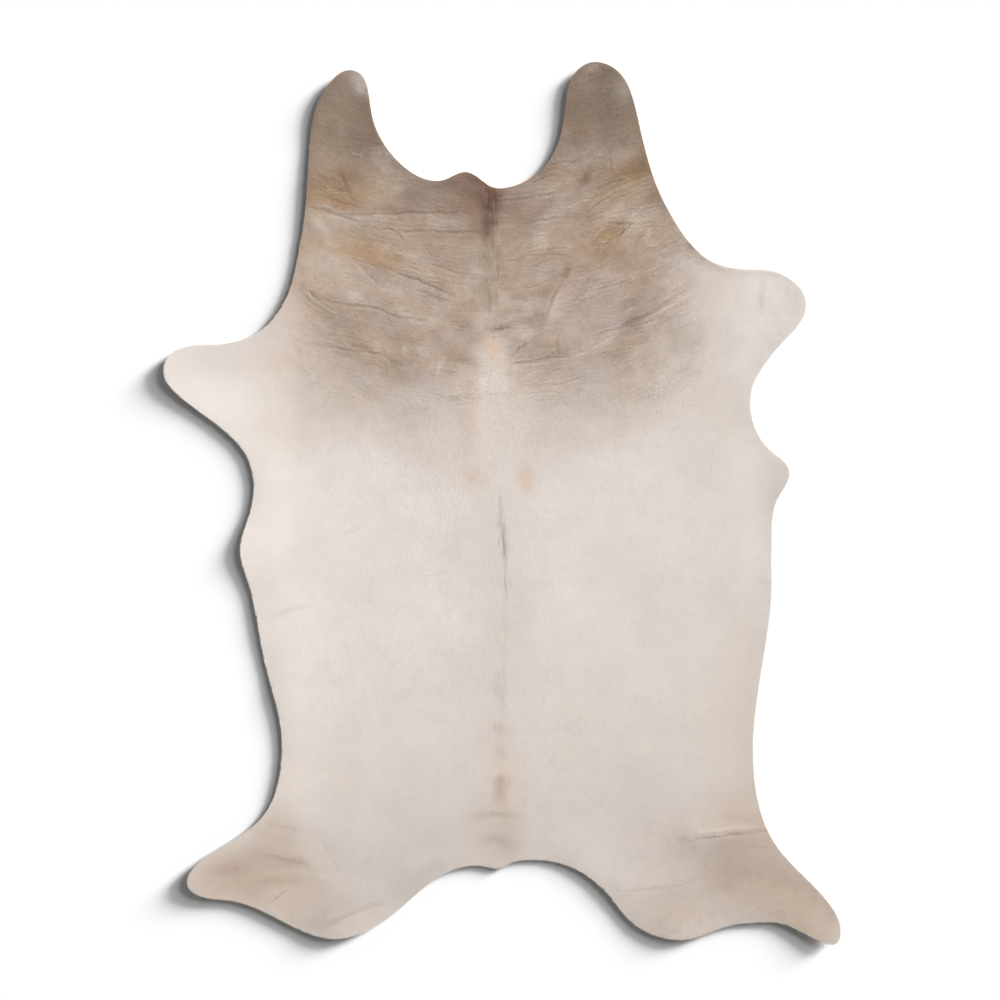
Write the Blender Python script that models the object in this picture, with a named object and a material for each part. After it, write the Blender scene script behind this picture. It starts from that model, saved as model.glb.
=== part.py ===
"""A whole cowhide with the hair on, laid flat on a floor as a rug.

Metres, +Z up. The floor is z = 0, the hair side faces up and the neck points along +Y.
The hide is one closed sheet: the leather and the short hair that lies on it.
"""

import math

import bmesh
import bpy
import numpy as np
from mathutils import Vector, geometry

# Driving dimensions of the hide
HIDE_LENGTH = 2.381  # neck flaps to hind legs, along Y
HIDE_WIDTH = 1.824  # foreleg to the hind leg on the other side, along X
LEATHER = 0.0025
LYING_HAIR = 0.0025
THICKNESS = LEATHER + LYING_HAIR

# How finely the sheet is meshed
RIM_STEP = 0.026  # longest straight piece of the cut edge
RIM_TURN = math.radians(14)  # largest bend between two pieces of the cut edge
FINE_STEP = 0.021  # between points on a fold
COARSE_EVERY = 3  # flat leather keeps one fine point in this many, each way
RIM_CLEAR = 0.6  # of a step, kept free of inner points beside the cut edge
FOLD_REACH = 2.2  # fold widths, to either side, that are meshed finely
FLAT_BELOW = 0.0004  # a lower lift than this lies on the floor
FOLD_END = 0.02  # of its length, where a fold starts to rise
MERGE_WITHIN = 1e-6
SHARP_EDGE = math.radians(50)

# The cut edge, clockwise from the left neck flap, at the length and width above.
# heading is the edge's direction there in degrees, with 0 along +X and 90 along +Y.
OUTLINE_COLUMNS = ("place", "x", "y", "heading")
OUTLINE = (
    ("left neck tip", -0.402, 1.169, -8),
    ("left neck inner side", -0.346, 1.040, -76),
    ("left neck root", -0.256, 0.905, -39),
    ("left of the nape", -0.170, 0.872, 2),
    ("nape point", -0.092, 0.895, -10),
    ("nape", -0.008, 0.852, 2),
    ("right neck root", 0.116, 0.913, 50),
    ("right neck inner side", 0.166, 1.050, 83),
    ("right neck corner", 0.197, 1.163, 50),
    ("right neck tip", 0.259, 1.191, -6),
    ("right neck outer corner", 0.345, 1.123, -67),
    ("right neck side", 0.381, 0.991, -76),
    ("right shoulder", 0.440, 0.815, -62),
    ("right shoulder bay", 0.548, 0.667, -38),
    ("right foreleg front", 0.651, 0.634, -4),
    ("right foreleg corner", 0.760, 0.618, -28),
    ("right foreleg tip", 0.821, 0.532, -93),
    ("right foreleg back", 0.768, 0.444, -134),
    ("right elbow", 0.690, 0.342, -119),
    ("right elbow bay", 0.672, 0.270, -88),
    ("right belly front", 0.724, 0.148, -44),
    ("right belly point", 0.778, 0.084, -88),
    ("right belly notch", 0.740, 0.000, -108),
    ("right belly", 0.730, -0.120, -91),
    ("right belly back", 0.727, -0.280, -95),
    ("right flank", 0.680, -0.659, -90),
    ("right thigh", 0.753, -0.937, -52),
    ("right hock", 0.853, -1.043, -48),
    ("right hind tip", 0.913, -1.145, -86),
    ("right hind corner", 0.890, -1.190, -178),
    ("right hind back", 0.821, -1.166, 153),
    ("right hind bay", 0.724, -1.131, 180),
    ("right hind bay end", 0.610, -1.140, -165),
    ("right rump point", 0.483, -1.176, 180),
    ("right rump corner", 0.356, -1.136, 145),
    ("right rump", 0.270, -1.038, 136),
    ("right of the tail", 0.151, -0.969, 166),
    ("tail, right side", 0.040, -0.965, -172),
    ("tail", -0.012, -0.986, 180),
    ("tail, left side", -0.060, -0.977, 178),
    ("left rump", -0.143, -0.994, -154),
    ("left rump side", -0.300, -1.115, -144),
    ("left rump point", -0.450, -1.173, 180),
    ("left hind bay", -0.600, -1.122, 153),
    ("left hind back", -0.725, -1.073, 170),
    ("left hind corner", -0.815, -1.057, 155),
    ("left hind tip", -0.847, -1.024, 96),
    ("left hock", -0.795, -0.949, 36),
    ("left thigh", -0.656, -0.853, 46),
    ("left flank back", -0.594, -0.660, 89),
    ("left flank", -0.633, -0.456, 106),
    ("left belly", -0.676, -0.240, 104),
    ("left belly point", -0.705, -0.120, 88),
    ("left belly notch", -0.676, -0.005, 78),
    ("left elbow bay", -0.671, 0.070, 96),
    ("left elbow", -0.706, 0.154, 130),
    ("left foreleg back", -0.868, 0.288, 139),
    ("left foreleg tip", -0.911, 0.362, 85),
    ("left foreleg corner", -0.860, 0.423, 18),
    ("left foreleg front", -0.745, 0.433, 8),
    ("left shoulder bay", -0.632, 0.485, 44),
    ("left shoulder", -0.562, 0.618, 78),
    ("left neck side", -0.532, 0.800, 85),
    ("left neck side high", -0.519, 0.990, 85),
    ("left neck outer corner", -0.480, 1.113, 55),
)

# Soft ridges that lift both faces of the leather. bow is how far the middle of the ridge
# stands to the left of the straight line from its start to its end, width is its half width.
FOLD_COLUMNS = ("place", "start_x", "start_y", "end_x", "end_y", "bow", "width", "height")
FOLDS = (
    ("left neck, across", -0.500, 0.795, -0.130, 0.790, -0.012, 0.024, 0.0040),
    ("left shoulder, across", -0.520, 0.580, -0.195, 0.490, -0.014, 0.026, 0.0045),
    ("left shoulder, inner", -0.275, 0.620, -0.130, 0.562, 0.004, 0.022, 0.0032),
    ("left shoulder, low", -0.560, 0.445, -0.290, 0.395, 0.006, 0.028, 0.0034),
    ("left neck flap", -0.440, 0.985, -0.320, 0.960, 0.008, 0.022, 0.0028),
    ("nape, right", -0.020, 0.815, 0.160, 0.842, -0.006, 0.022, 0.0036),
    ("right neck, across", 0.045, 0.745, 0.200, 0.772, 0.006, 0.022, 0.0034),
    ("right neck flap", 0.215, 0.780, 0.400, 0.860, -0.010, 0.026, 0.0036),
    ("right shoulder vein", 0.182, 0.630, 0.110, 0.440, -0.016, 0.024, 0.0042),
    ("right shoulder, across", 0.330, 0.480, 0.525, 0.580, -0.012, 0.026, 0.0046),
    ("right shoulder, inner", 0.220, 0.560, 0.345, 0.600, 0.004, 0.022, 0.0030),
    ("withers, right", 0.030, 0.400, 0.180, 0.470, 0.012, 0.024, 0.0032),
    ("backbone at the neck", -0.026, 0.740, -0.034, 0.500, 0.004, 0.026, 0.0030),
    ("left thigh", -0.680, -0.940, -0.500, -0.980, 0.008, 0.024, 0.0042),
    ("left hind fold", -0.500, -1.140, -0.310, -1.075, 0.006, 0.024, 0.0036),
    ("right thigh", 0.470, -0.912, 0.700, -0.884, 0.004, 0.022, 0.0050),
    ("right hind fold", 0.270, -1.042, 0.545, -1.005, -0.010, 0.026, 0.0040),
)

# Where the leather curls up off the floor, as round swells
LIFT_COLUMNS = ("place", "x", "y", "reach", "height")
LIFTS = (
    ("left neck flap", -0.430, 1.170, 0.120, 0.0110),
    ("right neck flap", 0.300, 1.190, 0.120, 0.0130),
    ("nape", -0.080, 0.900, 0.075, 0.0060),
    ("left foreleg", -0.930, 0.370, 0.120, 0.0110),
    ("right foreleg", 0.840, 0.520, 0.120, 0.0100),
    ("right belly point", 0.790, 0.080, 0.080, 0.0070),
    ("left belly point", -0.720, -0.120, 0.090, 0.0065),
    ("left hind leg", -0.860, -1.040, 0.120, 0.0120),
    ("right hind leg", 0.920, -1.190, 0.130, 0.0120),
    ("left rump", -0.440, -1.200, 0.110, 0.0080),
    ("right rump", 0.470, -1.200, 0.110, 0.0085),
)

# The coat, as one plain colour
COAT_COLOUR = (0.71, 0.64, 0.58, 1.0)
COAT_ROUGHNESS = 0.75


def clear_scene():
    for thing in list(bpy.data.objects):
        bpy.data.objects.remove(thing, do_unlink=True)


def rows(columns, table):
    """Each row of a table as a dictionary under the column names."""
    return [dict(zip(columns, row)) for row in table]


def span_handles(start, end):
    """Bezier handles that make an arc of the span where its two headings allow one."""
    run = end["point"] - start["point"]
    turn = (end["heading"] - start["heading"] + math.pi) % math.tau - math.pi
    reach = run.length / (3 * math.cos(turn / 4) ** 2)
    leave = Vector((math.cos(start["heading"]), math.sin(start["heading"]))) * reach
    arrive = Vector((math.cos(end["heading"]), math.sin(end["heading"]))) * reach
    return start["point"] + leave, end["point"] - arrive, turn


def cut_edge():
    """The hide's outline as a closed list of points, counter-clockwise from above."""
    knots = []
    for row in rows(OUTLINE_COLUMNS, OUTLINE):
        knots.append({"point": Vector((row["x"], row["y"])), "heading": math.radians(row["heading"])})
    points = []
    for start, end in zip(knots, knots[1:] + knots[:1]):
        leave, arrive, turn = span_handles(start, end)
        length = (end["point"] - start["point"]).length
        pieces = max(math.ceil(length / RIM_STEP), math.ceil(abs(turn) / RIM_TURN))
        points += geometry.interpolate_bezier(start["point"], leave, arrive, end["point"], pieces + 1)[:-1]
    points.reverse()
    return fit_to_size(np.array([[point.x, point.y] for point in points]))


def fit_to_size(points):
    """Centre the outline on the origin, at exactly the driving length and width."""
    low, high = points.min(axis=0), points.max(axis=0)
    return (points - (low + high) / 2) * (np.array([HIDE_WIDTH, HIDE_LENGTH]) / (high - low))


def distance_to_edge(points, edge):
    """Distance from each point to the closed edge, and whether it lies inside."""
    nearest = np.full(len(points), np.inf)
    crossings = np.zeros(len(points), dtype=int)
    for start, end in zip(edge, np.roll(edge, -1, axis=0)):
        run = end - start
        along = np.clip(((points - start) @ run) / (run @ run), 0, 1)
        foot = start + along[:, None] * run
        nearest = np.minimum(nearest, np.hypot(*(points - foot).T))
        spans = (start[1] > points[:, 1]) != (end[1] > points[:, 1])
        if run[1] != 0:
            crossing_x = start[0] + (points[:, 1] - start[1]) / run[1] * run[0]
            crossings += spans & (points[:, 0] < crossing_x)
    return nearest, crossings % 2 == 1


def fold_place(fold, points):
    """How far along a bowed fold each point is, from 0 to 1, and how far beside it."""
    start = np.array([fold["start_x"], fold["start_y"]])
    run = np.array([fold["end_x"], fold["end_y"]]) - start
    length = np.hypot(*run)
    forward = run / length
    left = np.array([-forward[1], forward[0]])
    along = ((points - start) @ forward) / length
    bow = fold["bow"] * np.clip(4 * along * (1 - along), 0, None)
    beside = (points - start) @ left - bow
    past_end = np.maximum(np.maximum(-along, along - 1), 0) * length
    return np.clip(along, 0, 1), np.hypot(beside, past_end)


def near_a_fold(points):
    near = np.zeros(len(points), dtype=bool)
    for fold in rows(FOLD_COLUMNS, FOLDS):
        near |= fold_place(fold, points)[1] < fold["width"] * FOLD_REACH
    return near


def lift(points):
    """Height of the leather's underside above the floor."""
    height = np.zeros(len(points))
    for fold in rows(FOLD_COLUMNS, FOLDS):
        along, beside = fold_place(fold, points)
        fade = np.sqrt(np.sin(np.pi * np.clip(along, FOLD_END, 1 - FOLD_END)))
        height += fold["height"] * fade * np.exp(-((beside / fold["width"]) ** 2))
    for swell in rows(LIFT_COLUMNS, LIFTS):
        beside = np.hypot(points[:, 0] - swell["x"], points[:, 1] - swell["y"])
        height += swell["height"] * np.exp(-((beside / swell["reach"]) ** 2))
    height[height < FLAT_BELOW] = 0
    return height


def inner_points(edge):
    """A triangular grid inside the edge, fine on the folds and coarse on flat leather."""
    reach = math.ceil(max(HIDE_LENGTH, HIDE_WIDTH) / FINE_STEP)
    i, j = (part.ravel() for part in np.meshgrid(range(-reach, reach + 1), range(-reach, reach + 1)))
    points = np.column_stack([(i + j / 2) * FINE_STEP, j * FINE_STEP * math.sqrt(3) / 2])
    coarse = (i % COARSE_EVERY == 0) & (j % COARSE_EVERY == 0)
    on_fold = near_a_fold(points)
    points, on_fold = points[coarse | on_fold], on_fold[coarse | on_fold]
    nearest, inside = distance_to_edge(points, edge)
    step = np.where(on_fold, FINE_STEP, FINE_STEP * COARSE_EVERY)
    return points[inside & (nearest > step * RIM_CLEAR)]


def sheet_mesh(edge):
    """One closed sheet: the underside, the hair side THICKNESS above it, and the rim."""
    flat = np.vstack([edge, inner_points(edge)])
    rim = len(edge)
    inside_only = 1
    corners, _, triangles, _, _, _ = geometry.delaunay_2d_cdt(
        [Vector(point) for point in flat], [], [list(range(rim))], inside_only, MERGE_WITHIN
    )
    plan = np.array([[corner.x, corner.y] for corner in corners])
    underside = lift(plan)
    count = len(plan)
    made = bmesh.new()
    for top in (0, THICKNESS):
        for (x, y), height in zip(plan, underside):
            made.verts.new((x, y, height + top))
    made.verts.ensure_lookup_table()
    for triangle in triangles:
        made.faces.new([made.verts[index] for index in reversed(triangle)])
        made.faces.new([made.verts[index + count] for index in triangle])
    for here in range(rim):
        there = (here + 1) % rim
        wall = [made.verts[index] for index in (here, there, there + count, here + count)]
        made.faces.new(wall)
    mesh = bpy.data.meshes.new("hide")
    made.to_mesh(mesh)
    made.free()
    return mesh


def coat_material():
    material = bpy.data.materials.new("coat")
    material.use_nodes = True
    shader = material.node_tree.nodes["Principled BSDF"]
    shader.inputs["Base Color"].default_value = COAT_COLOUR
    shader.inputs["Roughness"].default_value = COAT_ROUGHNESS
    shader.inputs["Metallic"].default_value = 0.0
    return material


def make_hide():
    mesh = sheet_mesh(cut_edge())
    mesh.materials.append(coat_material())
    mesh.shade_smooth()
    mesh.set_sharp_from_angle(angle=SHARP_EDGE)
    hide = bpy.data.objects.new("hide", mesh)
    bpy.context.scene.collection.objects.link(hide)
    return hide


def main():
    clear_scene()
    hide = make_hide()
    area = sum(face.area for face in hide.data.polygons if face.normal.z > 0.5)
    print(f"hide: {len(hide.data.polygons)} faces, hair side {area:.3f} m2")


main()
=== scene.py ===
# %% [markdown]
# # A whole cowhide, laid as a rug
#
# The real thing is one piece: the skin of one cow, tanned with its short hair left on, trimmed to a
# clean edge and laid flat. Nothing is sewn to it. What the eye reads is the outline, the taupe neck
# and shoulders that fade into a cream body, the creases of the neck, and the nap of the hair.
#
# A solid of the hide already has the outline, the thickness and the main folds. It could be shown as
# it is, but it is one smooth slab. This script reads the outline and the folds from it and makes the
# two things that a tanner would name: the skin, with its cut rim and napped underside, and the coat.

# %% Load the solid hide
import math

import bpy
import numpy as np
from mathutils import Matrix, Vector
from mathutils.bvhtree import BVHTree
from mathutils.geometry import delaunay_2d_cdt


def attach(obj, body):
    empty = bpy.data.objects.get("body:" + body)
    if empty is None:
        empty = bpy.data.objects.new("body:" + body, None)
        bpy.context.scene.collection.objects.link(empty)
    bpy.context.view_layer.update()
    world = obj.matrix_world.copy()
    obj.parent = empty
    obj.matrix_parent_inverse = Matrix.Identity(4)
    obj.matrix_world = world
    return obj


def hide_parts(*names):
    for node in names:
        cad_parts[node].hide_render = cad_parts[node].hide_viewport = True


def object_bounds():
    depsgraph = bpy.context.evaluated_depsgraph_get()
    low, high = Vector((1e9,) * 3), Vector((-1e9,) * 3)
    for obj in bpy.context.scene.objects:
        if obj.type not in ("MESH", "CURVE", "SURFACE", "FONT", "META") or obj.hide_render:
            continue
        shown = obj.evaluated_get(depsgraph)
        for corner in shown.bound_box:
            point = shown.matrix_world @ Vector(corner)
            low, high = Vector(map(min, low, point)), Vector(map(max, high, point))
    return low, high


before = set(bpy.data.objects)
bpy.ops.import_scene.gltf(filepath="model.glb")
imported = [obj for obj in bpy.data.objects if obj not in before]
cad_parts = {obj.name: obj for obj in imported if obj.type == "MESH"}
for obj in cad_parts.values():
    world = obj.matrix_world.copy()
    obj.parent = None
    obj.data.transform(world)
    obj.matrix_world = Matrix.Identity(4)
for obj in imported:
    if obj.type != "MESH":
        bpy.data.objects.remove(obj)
solid_low, solid_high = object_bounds()
solid_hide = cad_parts["hide"]
print(f"solid hide: {solid_high.x - solid_low.x:.3f} x {solid_high.y - solid_low.y:.3f} m")

# %% [markdown]
# ## The camera
#
# A hide is photographed from straight above, or its outline would be squeezed. An orthographic camera
# would do, but a long lens from high up gives nearly the same picture and is what a studio has. Its
# height follows from the lens and from how much floor the picture shows.

# %% Camera straight above
LENS = 85.0  # mm
SENSOR = 36.0  # mm
FLOOR_IN_VIEW = 2.70  # metres across the picture
CAMERA_X = -0.006
CAMERA_Y = 0.008

camera_data = bpy.data.cameras.new("camera")
camera_data.lens = LENS
camera_data.sensor_width = SENSOR
camera = bpy.data.objects.new("camera", camera_data)
camera.location = (CAMERA_X, CAMERA_Y, FLOOR_IN_VIEW * LENS / SENSOR)
bpy.context.scene.collection.objects.link(camera)
bpy.context.scene.camera = camera
print(f"camera {camera.location.z:.2f} m above the floor")

# %% [markdown]
# ## The floor
#
# The studio floor is pale and plain, so the cut edge and its shadow read clearly. It could be a slab,
# but one large square does: nothing is seen of a floor but its top, and it reaches far past the
# picture from every side.

# %% Floor
FLOOR_SIDE = 60.0  # metres
FLOOR_WHITE = 0.76

floor_mesh = bpy.data.meshes.new("floor")
half = FLOOR_SIDE / 2
floor_corners = [(-half, -half, 0), (half, -half, 0), (half, half, 0), (-half, half, 0)]
floor_mesh.from_pydata(floor_corners, [], [(0, 1, 2, 3)])
floor_paint = bpy.data.materials.new("floor paint")
floor_paint.use_nodes = True
floor_shader = floor_paint.node_tree.nodes["Principled BSDF"]
floor_shader.inputs["Base Color"].default_value = (FLOOR_WHITE, FLOOR_WHITE, FLOOR_WHITE, 1)
floor_shader.inputs["Roughness"].default_value = 0.9
floor_shader.inputs["Specular IOR Level"].default_value = 0.1
floor_mesh.materials.append(floor_paint)
floor = bpy.data.objects.new("floor", floor_mesh)
bpy.context.scene.collection.objects.link(floor)

# %% [markdown]
# ## The light
#
# A broad lamp stands low at the right, a little towards the neck, so the thin edge throws a wide
# shadow to the left. A second, weaker and broader one over it softens the shadow's foot. Sun lamps
# with wide discs do that evenly over the whole hide, where nearby area lamps would leave the far side
# dark.

# %% Lamps
LAMPS_FROM = math.radians(33)  # from +X towards +Y
LAMP_COLUMNS = ("name", "strength", "height", "disc")  # both angles in degrees
LAMPS = (
    ("key light", 10.6, 13.5, 16),
    ("upper light", 2.1, 30, 30),
)


def add_lamp(name, strength, height, disc):
    """A sun lamp that far above the floor, with a disc that wide."""
    data = bpy.data.lights.new(name, "SUN")
    data.energy = strength
    data.angle = math.radians(disc)
    lamp = bpy.data.objects.new(name, data)
    level, up = math.cos(math.radians(height)), math.sin(math.radians(height))
    towards_lamp = Vector((level * math.cos(LAMPS_FROM), level * math.sin(LAMPS_FROM), up))
    lamp.rotation_euler = towards_lamp.to_track_quat("Z", "Y").to_euler()
    bpy.context.scene.collection.objects.link(lamp)
    return lamp


for row in LAMPS:
    lamp = add_lamp(**dict(zip(LAMP_COLUMNS, row)))
    print(f"{lamp.name}: {lamp.data.energy:.1f}")

# %% [markdown]
# The rest of the light comes from the room: bright at the horizon, as pale walls are, and dimmer
# overhead. A background of one strength would be simpler, but it fills the shadow too much.

# %% Room light
WALL_LIGHT = 1.20
CEILING_LIGHT = 0.14
WALL_TOP = 0.12  # sine of the height angle where the walls start to dim
CEILING_START = 0.35  # the same, where they have become the ceiling

studio = bpy.data.worlds.new("room")
studio.use_nodes = True
studio_nodes = studio.node_tree.nodes
direction = studio_nodes.new("ShaderNodeTexCoord")
height_part = studio_nodes.new("ShaderNodeSeparateXYZ")
dimming = studio_nodes.new("ShaderNodeMapRange")
dimming.inputs["From Min"].default_value = WALL_TOP
dimming.inputs["From Max"].default_value = CEILING_START
dimming.inputs["To Min"].default_value = WALL_LIGHT
dimming.inputs["To Max"].default_value = CEILING_LIGHT
studio.node_tree.links.new(direction.outputs["Generated"], height_part.inputs["Vector"])
studio.node_tree.links.new(height_part.outputs["Z"], dimming.inputs["Value"])
studio.node_tree.links.new(dimming.outputs["Result"], studio_nodes["Background"].inputs["Strength"])
studio_nodes["Background"].inputs["Color"].default_value = (1, 1, 1, 1)
bpy.context.scene.world = studio
bpy.context.scene.view_settings.view_transform = "Standard"
print(f"room light: walls {WALL_LIGHT:.2f}, ceiling {CEILING_LIGHT:.2f}")

# %% [markdown]
# ## Reading the outline and the folds from the solid
#
# The skin has to lie where the solid lies. Its outline could be typed in again, but then the two
# could drift apart. Here the upper faces of the solid are welded, and the sides that only one of them
# has are joined into a loop: that is the cut edge. A smooth curve through it takes the corners off.

# %% Cut edge of the solid
FACES_UP = 0.5  # least upward part of a face's normal on the hair side
WELD_DIGITS = 5  # decimals of a metre that two points share when they are one
EDGE_STEP = 0.005


def upper_side(solid):
    """Welded points of a solid, and the triangles of its upper side as numbers of those points."""
    mesh = solid.data
    places = np.empty(len(mesh.vertices) * 3)
    mesh.vertices.foreach_get("co", places)
    places = places.reshape(-1, 3)
    corners = np.empty(len(mesh.loops), dtype=np.int64)
    mesh.loops.foreach_get("vertex_index", corners)
    triangles = corners.reshape(-1, 3)
    a, b, c = (places[triangles[:, corner]] for corner in range(3))
    normal = np.cross(b - a, c - a)
    faces_up = normal[:, 2] > FACES_UP * np.linalg.norm(normal, axis=1)
    points, number = np.unique(np.round(places, WELD_DIGITS), axis=0, return_inverse=True)
    return points, number.reshape(-1)[triangles[faces_up]]


def edge_loop(points, triangles):
    """Plan of the cut edge, counter-clockwise from above."""
    sides = {tuple(side) for pair in ((0, 1), (1, 2), (2, 0)) for side in triangles[:, pair].tolist()}
    onward = {start: end for start, end in sides if (end, start) not in sides}
    loop = [min(onward)]
    while onward[loop[-1]] != loop[0]:
        loop.append(onward[loop[-1]])
    return points[loop, :2]


def smooth_line(points, step, closed=False):
    """Points about every step along a Catmull-Rom curve through the given ones."""
    points = np.asarray(points, dtype=float)
    if closed:
        before, start, end, after = (np.roll(points, shift, axis=0) for shift in (1, 0, -1, -2))
    else:
        held = np.vstack([2 * points[0] - points[1], points, 2 * points[-1] - points[-2]])
        before, start, end, after = held[:-3], held[1:-2], held[2:-1], held[3:]
    spans = []
    for p0, p1, p2, p3 in zip(before, start, end, after):
        pieces = max(1, math.ceil(np.hypot(*(p2 - p1)) / step))
        t = np.linspace(0, 1, pieces, endpoint=False)[:, None]
        bend = 2 * p0 - 5 * p1 + 4 * p2 - p3
        twist = 3 * p1 - p0 - 3 * p2 + p3
        spans.append(0.5 * (2 * p1 + (p2 - p0) * t + bend * t**2 + twist * t**3))
    if not closed:
        spans.append(points[-1:])
    return np.vstack(spans)


solid_points, upper_triangles = upper_side(solid_hide)
edge = smooth_line(edge_loop(solid_points, upper_triangles), EDGE_STEP, closed=True)
print(f"cut edge: {len(edge)} points, {np.hypot(*np.diff(edge, axis=0).T).sum():.2f} m round")

# %% [markdown]
# ## A plan to draw on
#
# Folds, creases and colours all belong to places on the hide. They could be worked out point by point
# for every lock of hair, but a plan is quicker and simpler: one array of places, 2 mm apart, for
# each thing. A crease or a patch is drawn on the plan once, and skin and hair then look it up.

# %% The plan and how to read it
PLAN_STEP = 0.0020
PLAN_MARGIN = 0.04
BELL_REACH = 2.5  # standard deviations at which the blur's bell curve is cut off
plan_low = np.array(solid_low[:2]) - PLAN_MARGIN
plan_size = np.ceil((np.array(solid_high[:2]) + PLAN_MARGIN - plan_low) / PLAN_STEP).astype(int)
plan_x, plan_y = np.meshgrid(
    plan_low[0] + PLAN_STEP * np.arange(plan_size[0]),
    plan_low[1] + PLAN_STEP * np.arange(plan_size[1]),
)


def look_up(plan, points):
    """The plan's value at each point, blended from the four places round it."""
    last = np.array(plan.shape[1::-1]) - 1.001  # just short of the last place, so each has a next one
    place = np.clip((points - plan_low) / PLAN_STEP, 0, last)
    column, row = place.astype(int).T
    across, up = (place % 1).T
    if plan.ndim == 3:
        across, up = across[:, None], up[:, None]
    lower = plan[row, column] * (1 - across) + plan[row, column + 1] * across
    upper = plan[row + 1, column] * (1 - across) + plan[row + 1, column + 1] * across
    return lower * (1 - up) + upper * up


def soften(plan, reach):
    """The plan blurred by a bell curve whose standard deviation is reach."""
    radius = math.ceil(BELL_REACH * reach / PLAN_STEP)
    weights = np.exp(-0.5 * (np.arange(-radius, radius + 1) * PLAN_STEP / reach) ** 2)
    weights /= weights.sum()
    for _ in range(2):
        held = np.pad(plan, ((radius, radius), (0, 0)), mode="edge")
        plan = sum(weight * held[shift : shift + len(plan)] for shift, weight in enumerate(weights)).T
    return plan


print(f"plan: {plan_size[0]} x {plan_size[1]} places")

# %% [markdown]
# The lie of the hide is read by looking straight down on the solid at every fourth place of the plan.
# Beyond the edge the nearest point of the upper side answers, so the plan has a value there too. The
# facets of the solid would show as creases that no hide has, so the plan is softened.

# %% Lie of the hide, and room to its edge
COARSE = 4  # places of the plan from one reading to the next
LIE_SOFTNESS = 0.013
EDGE_THINNING = 2  # every second point of the edge is enough to measure from


def refine(coarse):
    """A full plan from values at every COARSEth place."""
    rows, columns = (np.arange(size) / COARSE for size in plan_x.shape)
    wide = np.array([np.interp(columns, np.arange(coarse.shape[1]), line) for line in coarse])
    return np.array([np.interp(rows, np.arange(coarse.shape[0]), line) for line in wide.T]).T


def room_inside(points, edge):
    """Distance from each point to the cut edge, negative outside it."""
    nearest = np.full(len(points), np.inf)
    inside = np.zeros(len(points), dtype=bool)
    for start, end in zip(edge, np.roll(edge, -1, axis=0)):
        run = end - start
        along = np.clip((points - start) @ run / (run @ run), 0, 1)
        gap = points - start - along[:, None] * run
        nearest = np.minimum(nearest, (gap**2).sum(axis=1))
        spans = (start[1] > points[:, 1]) != (end[1] > points[:, 1])
        crossing = start[0] + (points[:, 1] - start[1]) * run[0] / (run[1] or 1)
        inside ^= spans & (points[:, 0] < crossing)
    return np.where(inside, 1, -1) * np.sqrt(nearest)


coarse_points = np.column_stack([plan_x[::COARSE, ::COARSE].ravel(), plan_y[::COARSE, ::COARSE].ravel()])
coarse_shape = plan_x[::COARSE, ::COARSE].shape
upper_tree = BVHTree.FromPolygons([Vector(point) for point in solid_points], upper_triangles.tolist())


def solid_top(x, y):
    """Height of the solid's upper side below a point, or of its nearest point beyond the edge."""
    hit = upper_tree.ray_cast(Vector((x, y, 1)), Vector((0, 0, -1)))[0]
    return (hit or upper_tree.find_nearest(Vector((x, y, 0)))[0]).z


coarse_top = np.array([solid_top(x, y) for x, y in coarse_points]).reshape(coarse_shape)
lie = soften(refine(coarse_top), LIE_SOFTNESS)
room = refine(room_inside(coarse_points, edge[::EDGE_THINNING]).reshape(coarse_shape))
print(f"lie: {lie[room > 0].min() * 1000:.1f} to {lie[room > 0].max() * 1000:.1f} mm")

# %% [markdown]
# ## Natural unevenness
#
# Skin and hair are never even, at any scale. A noise texture could add that in the material alone, but
# height and colour both need it, so here is a plain value noise: random numbers on a lattice, blended
# smoothly. Turning each layer by its own angle hides the lattice.

# %% Soft noise
NOISE_CELLS = 512
NOISE_TURN = 0.6  # radians between the hide's own axes and the lattice's
LAYER_FINER = 2.1  # how much finer each layer is than the one before


def soft_noise(x, y, size_x, size_y, seed, turn=NOISE_TURN):
    """Smooth random values from -1 to 1 that change over about size_x by size_y."""
    table = np.random.default_rng(seed).uniform(-1, 1, (NOISE_CELLS, NOISE_CELLS))
    u = (x * math.cos(turn) + y * math.sin(turn)) / size_x
    v = (y * math.cos(turn) - x * math.sin(turn)) / size_y
    column, row = np.floor(u).astype(int), np.floor(v).astype(int)
    s, t = u - column, v - row
    s, t = s * s * (3 - 2 * s), t * t * (3 - 2 * t)
    here, right = column % NOISE_CELLS, (column + 1) % NOISE_CELLS
    low, high = row % NOISE_CELLS, (row + 1) % NOISE_CELLS
    lower = table[low, here] * (1 - s) + table[low, right] * s
    upper = table[high, here] * (1 - s) + table[high, right] * s
    return lower * (1 - t) + upper * t


def layered_noise(x, y, size, seed, layers=3):
    """Soft noise in finer and finer layers, each half as strong as the one before."""
    total = np.zeros(np.shape(x))
    for layer in range(layers):
        fine = size / LAYER_FINER**layer
        total += soft_noise(x, y, fine, fine, seed + layer, turn=NOISE_TURN + layer) / 2**layer
    return total


def smooth_step(value, low, high):
    """0 below low, 1 above high and a smooth rise between."""
    share = np.clip((value - low) / (high - low), 0, 1)
    return share * share * (3 - 2 * share)
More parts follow.
